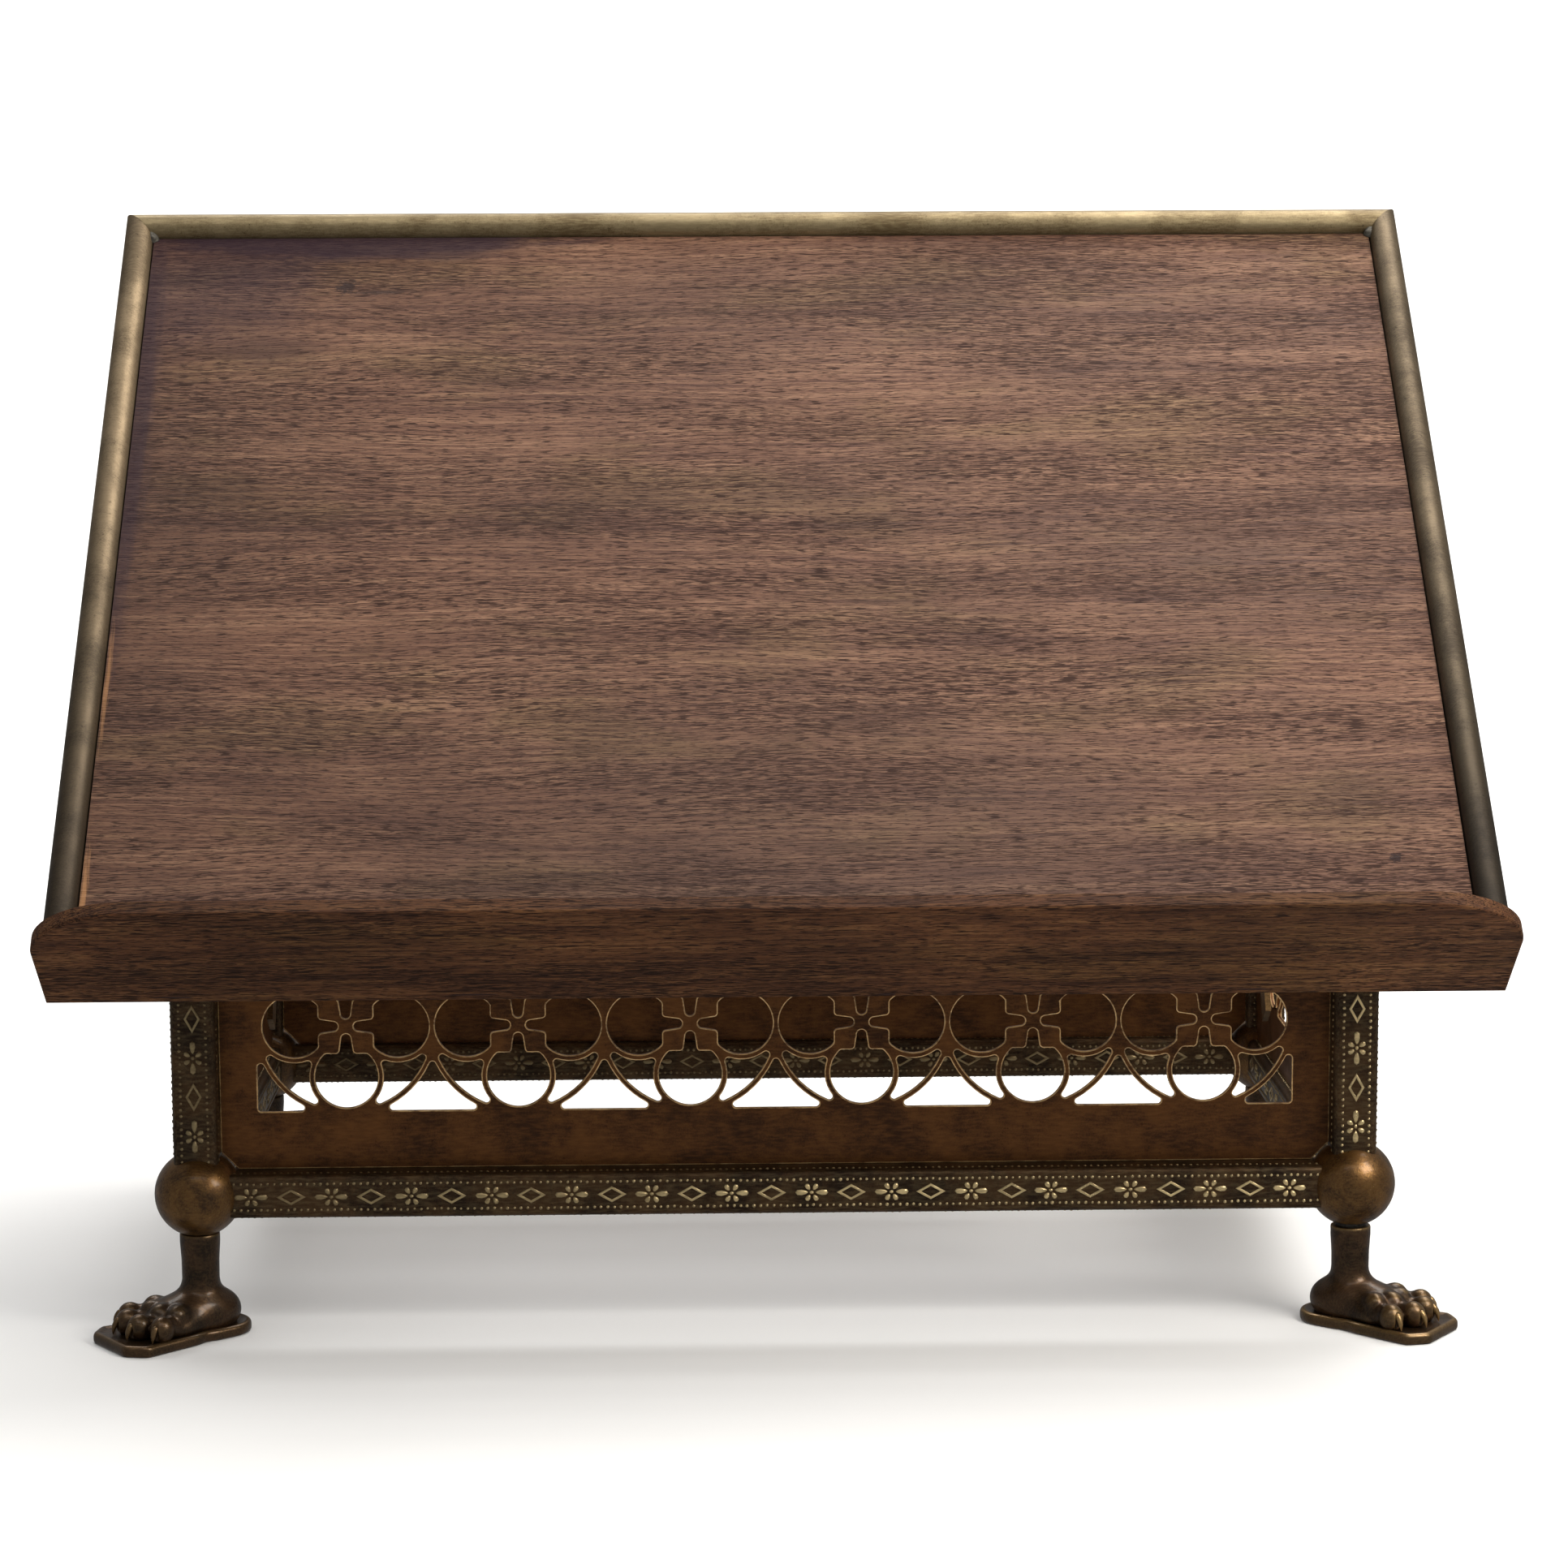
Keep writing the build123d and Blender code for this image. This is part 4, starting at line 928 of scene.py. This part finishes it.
def make_sole(shell):
    """Sole plate: the rim's rounded profile carried round the outline, closed above and below."""
    line, inward = sole_outline()
    rim = np.array(SOLE_RIM)
    flat = line[None] + rim[:, 0, None, None] * inward[None]
    height = np.broadcast_to(rim[:, 1, None, None], (*flat.shape[:2], 1))
    middle_x = 6.0
    faces = closed_rings(
        np.concatenate([flat, height], -1), (middle_x, 0, rim[0, 1]), (middle_x, 0, rim[-1, 1]),
    )
    tone = np.concatenate([np.repeat(SOLE_TONE, len(line)), [0, 0]])
    shell.add(*faces, tone)


SMOOTHING_ROUNDS = 14


def ridge_tone(points, quads):
    """Wear of a surface: how far each point stands proud of its neighbours, smoothed."""
    edges = np.concatenate([quads[:, [0, 1]], quads[:, [1, 2]], quads[:, [2, 3]], quads[:, [3, 0]]])
    edges = np.concatenate([edges, edges[:, ::-1]])
    degree = np.bincount(edges[:, 0], minlength=len(points)).astype(float)

    def near_mean(values):
        sums = [np.bincount(edges[:, 0], column[edges[:, 1]], len(points)) for column in values.T]
        return np.stack(sums, -1) / degree[:, None]

    smooth = points
    for _ in range(SMOOTHING_ROUNDS):
        smooth = near_mean(smooth)
    normal = np.zeros_like(points)
    across = np.cross(points[quads[:, 2]] - points[quads[:, 0]], points[quads[:, 3]] - points[quads[:, 1]])
    for k in range(4):
        np.add.at(normal, quads[:, k], across)
    normal /= np.linalg.norm(normal, axis=1)[:, None] + 1e-9
    proud = ((points - smooth) * normal).sum(1)
    return np.clip((proud - 0.12) / 0.55, 0, 1) * np.clip(normal[:, 2] * 0.6 + 0.7, 0, 1)


def make_foot(corner):
    """One paw on its sole plate, toes along the corner's heading."""
    node = f"{corner}_foot"
    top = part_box(node)[1][2] / MM
    step = 0.42
    low = np.array((-15.0, -16.5, 1.6))
    high = np.array((32.5, 16.5, top + 1.0))
    axes = [np.arange(a, b, step) for a, b in zip(low, high)]
    x, y, z = np.meshgrid(*axes, indexing="ij")
    points, quads = surface_net(paw_field(x, y, z, top), low, step)
    shell = Shell()
    shell.add(points, quads, None, ridge_tone(points, quads))
    for heading, reach in zip(TOE_HEADINGS, TOE_REACH):
        shell.add(*claw(heading, reach), CLAW_TONE)
    make_sole(shell)
    centre = middle(f"{corner}_post") * (1, 1, 0)
    c, s = cos(radians(FOOT_HEADINGS[corner])), sin(radians(FOOT_HEADINGS[corner]))
    turn = np.array([(c, s, 0), (-s, c, 0), (0, 0, 1)])
    shell.points = [p @ turn + centre for p in shell.points]
    mesh = outward(shell.mesh(node))
    finish_piece(f"{corner}_paw", mesh, node, [foot_bronze], (node,), 70.0)


for corner in FOOT_HEADINGS:
    make_foot(corner)


# ---------------------------------------------------------------- edging
def edging_section():
    """Half-round crown on straight sides: across and height, counter-clockwise from above."""
    half = EDGING_WIDTH / 2
    turn = np.linspace(0, pi, 21)
    crown = np.stack([half * np.cos(turn), EDGING_RISE * np.sin(turn)], -1)
    chamfer = 0.6
    left = [(-half, -3.0), (-half, -8.0), (-half, chamfer - BOARD_THICK), (-half + chamfer, -BOARD_THICK)]
    left = np.array(left)
    return np.concatenate([crown, left, (left * (-1, 1))[::-1]])


def edging_height(section, dent):
    """Heights of the section's points off the hinge plane; dents lower only its round crown."""
    height = section[None, :, 1]
    return board_off[1] + height + np.where(height > 0, dent * 0.5 - 0.08, 0)


def make_side_edging(name, side):
    """Side length: the section carried up the slope and cut at 45 degrees at the top."""
    (low, high), _ = board_reach(f"{name}_edging")
    section = edging_section()
    centre_x = side * (span("top_edging", 0) / 2 - EDGING_WIDTH / 2)
    share = np.linspace(0, 1, 120)
    cut = high - np.abs(side * EDGING_WIDTH / 2 - section[:, 0])
    along = low + share[:, None] * (cut[None, :] - low)
    dent = 0.10 * np.sin(along * 0.021 + 2 * side) + 0.05 * np.sin(along * 0.07 + side)
    x = centre_x + section[None, :, 0]
    rings = on_board(x, along, edging_height(section, dent))
    shell = Shell()
    shell.add(*closed_rings(rings, *rings[[0, -1]].mean(1)))
    finish = left_edging_lit_brass if side < 0 else right_edging_shaded_brass
    mesh = outward(shell.mesh(name))
    finish_piece(f"{name}_edging_length", mesh, "board", [finish], (f"{name}_edging",), 40.0)


def make_top_edging():
    """Top length between the mitres: the same section carried across."""
    (_, high), _ = board_reach("top_edging")
    section = edging_section()
    half_length = span("top_edging", 0) / 2
    share = np.linspace(-1, 1, 180)
    reach = half_length - (EDGING_WIDTH / 2 - section[:, 0])
    x = share[:, None] * reach[None, :]
    along = np.broadcast_to(high - EDGING_WIDTH / 2 + section[None, :, 0], x.shape)
    dent = 0.08 * np.sin(x * 0.019) + 0.04 * np.sin(x * 0.09 + 1)
    rings = on_board(x, along, edging_height(section, dent))
    shell = Shell()
    shell.add(*closed_rings(rings, *rings[[0, -1]].mean(1)))
    mesh = outward(shell.mesh("top"))
    finish, nodes = [edging_top_brass], ("top_edging",)
    finish_piece("top_edging_length", mesh, "board", finish, nodes, 40.0)


def make_solder(side):
    """Lump of solder in an inner corner of the edging: a low dome with an uneven outline."""
    (_, high), _ = board_reach("top_edging")
    half_length = span("top_edging", 0) / 2
    turn = np.arange(24) / 24 * 2 * pi
    rings = np.array([1.0, 0.85, 0.6, 0.3])[:, None]
    uneven = 1 + 0.22 * np.sin(3 * turn + side) + 0.12 * np.sin(5 * turn + 2 * side)
    x = side * (half_length - EDGING_WIDTH * 0.93) + 3.6 * rings * uneven * np.cos(turn)
    along = high - EDGING_WIDTH * 0.93 + 3.2 * rings * uneven * np.sin(turn)
    above = board_off[1] + 0.2 + 2.3 * np.sqrt(np.clip(1 - rings**2, 0, 1)) * (1 + 0.1 * np.sin(4 * turn))
    domed = on_board(x, along, above)
    base, peak = domed[[0, -1]].mean(1)
    shell = Shell()
    shell.add(*closed_rings(domed, base, peak + OFF_BOARD * 0.12))
    name = "left_solder" if side < 0 else "right_solder"
    finish_piece(name, outward(shell.mesh(name)), "board", [edging_joint], (), 60.0)


for name, side in (("left", -1), ("right", 1)):
    make_side_edging(name, side)
    make_solder(side)
make_top_edging()

# ---------------------------------------------------------------- pieces kept from the frame
for side in ("front", "rear", "left", "right"):
    sheet = f"{side}_gallery"
    # the second finish, on the rounded edges, carries a painted highlight besides the wear
    finishes = [gallery_brass, gallery_edge_wear_and_highlight]
    softened(sheet, f"{sheet}_sheet", "base", finishes, width=0.4, clamped=False)
softened("ledge", "ledge_plank", "board", [ledge_wood_painted_shade], 0.7, 3)
for side in ("left", "right"):
    softened(f"{side}_stay", f"{side}_stay_plate", "board", [patinated_brass], 0.25)
    screw = f"{side}_thumbscrew"
    softened(screw, f"{screw}_turned", screw, [ball_brass], 0.2)
kept = {
    "reading_board": board_wood,
    "ledge_dowels": dowel_wood,
    "edging_pins": dark_fastener,
    "post_caps": patinated_brass,
    "foot_studs": dark_fastener,
    "hinge_pins": dark_fastener,
    "rail_screws": dark_fastener,
    "board_screws": dark_fastener,
}
for side in ("left", "right"):
    kept[f"{side}_hinge_rail_leaf"] = patinated_brass
    kept[f"{side}_hinge_board_leaf"] = patinated_brass
    kept[f"{side}_stay_boss"] = patinated_brass
    kept[f"{side}_thumb_shank"] = dark_fastener
for node, finish in kept.items():
    for slot in frame["nodes"][node].material_slots:
        slot.material = finish


# ---------------------------------------------------------------- studio
def make_backdrop():
    """Pale sweep: a level floor that curves up behind the stand."""
    x = np.linspace(-6, 6, 2)
    turn = np.linspace(0, pi / 2, 24)
    y = np.concatenate([[-6.0], 2.2 + 1.6 * np.sin(turn), [3.8]])
    z = np.concatenate([[0.0], 1.6 - 1.6 * np.cos(turn), [6.0]])
    across, back = np.meshgrid(x, y)
    points = np.stack([across, back, np.broadcast_to(z[:, None], across.shape)], -1)
    shell = Shell()
    shell.add(points / MM, grid_quads(len(y), 2))
    mesh = shell.mesh("Sweep")
    material, n, surface, place = start_material("Pale sweep", Roughness=0.85, Specular_IOR_Level=0.1)
    tone = n.mix(n.noise(place, 3.0, 3.0), colour(244, 243, 241), colour(248, 247, 245))
    connect(n, surface, "Base Color", tone)
    mesh.materials.append(material)
    mesh.shade_smooth()
    sweep = bpy.data.objects.new("Sweep", mesh)
    bpy.context.scene.collection.objects.link(sweep)
    sweep.visible_glossy = False


def make_light(name, place, aim, size, power, tint=(1, 1, 1)):
    """Square soft light at a place, facing another."""
    lamp = bpy.data.lights.new(name, "AREA")
    lamp.size = size
    lamp.energy = power
    lamp.color = tint
    light = bpy.data.objects.new(name, lamp)
    light.location = place
    light.rotation_euler = (Vector(place) - Vector(aim)).to_track_quat("Z", "Y").to_euler()
    light.visible_camera = False
    bpy.context.scene.collection.objects.link(light)


make_backdrop()
make_light("Window", (0.59, -0.48, 0.63), (0, 0, 0.15), 0.36, 5.0, (1.0, 0.97, 0.92))
make_light("Overhead", (0.31, 0.13, 1.04), (0, 0, 0.15), 0.6, 6.6, (1.0, 0.98, 0.95))
make_light("Sweep light", (0.0, 1.5, 2.1), (0, 3.0, 0.2), 2.2, 90.0)
make_light("Floor light", (0.0, -0.9, 1.9), (0, -0.9, 0), 1.6, 14.0)

world = bpy.data.worlds.new("Studio")
bpy.context.scene.world = world
world.use_nodes = True
air = Nodes(world.node_tree)
ray = air.add("ShaderNodeLightPath").outputs
glow = air.math("SUBTRACT", 0.34, air.math("MULTIPLY", ray["Is Glossy Ray"], 0.12))
background = world.node_tree.nodes["Background"].inputs
background["Color"].default_value = (1.0, 1.0, 1.0, 1.0)
air.feed(background["Strength"], air.math("MAXIMUM", glow, ray["Is Camera Ray"]))

# ---------------------------------------------------------------- camera
CAMERA_PLACE = (-0.0248, -1.3927, 0.3650)
CAMERA_YAW, CAMERA_PITCH, CAMERA_ROLL = 0.021172, 0.138661, -0.004435
lens = bpy.data.cameras.new("Camera")
lens.sensor_width = 36.0
lens.lens = 93.6
camera = bpy.data.objects.new("Camera", lens)
yaw = Matrix.Rotation(-CAMERA_YAW, 4, "Z")
pitch = Matrix.Rotation(pi / 2 - CAMERA_PITCH, 4, "X")
roll = Matrix.Rotation(CAMERA_ROLL, 4, "Z")
camera.matrix_world = Matrix.Translation(CAMERA_PLACE) @ yaw @ pitch @ roll
bpy.context.scene.collection.objects.link(camera)
bpy.context.scene.camera = camera
bpy.context.scene.view_settings.view_transform = "Standard"

bpy.context.view_layer.update()
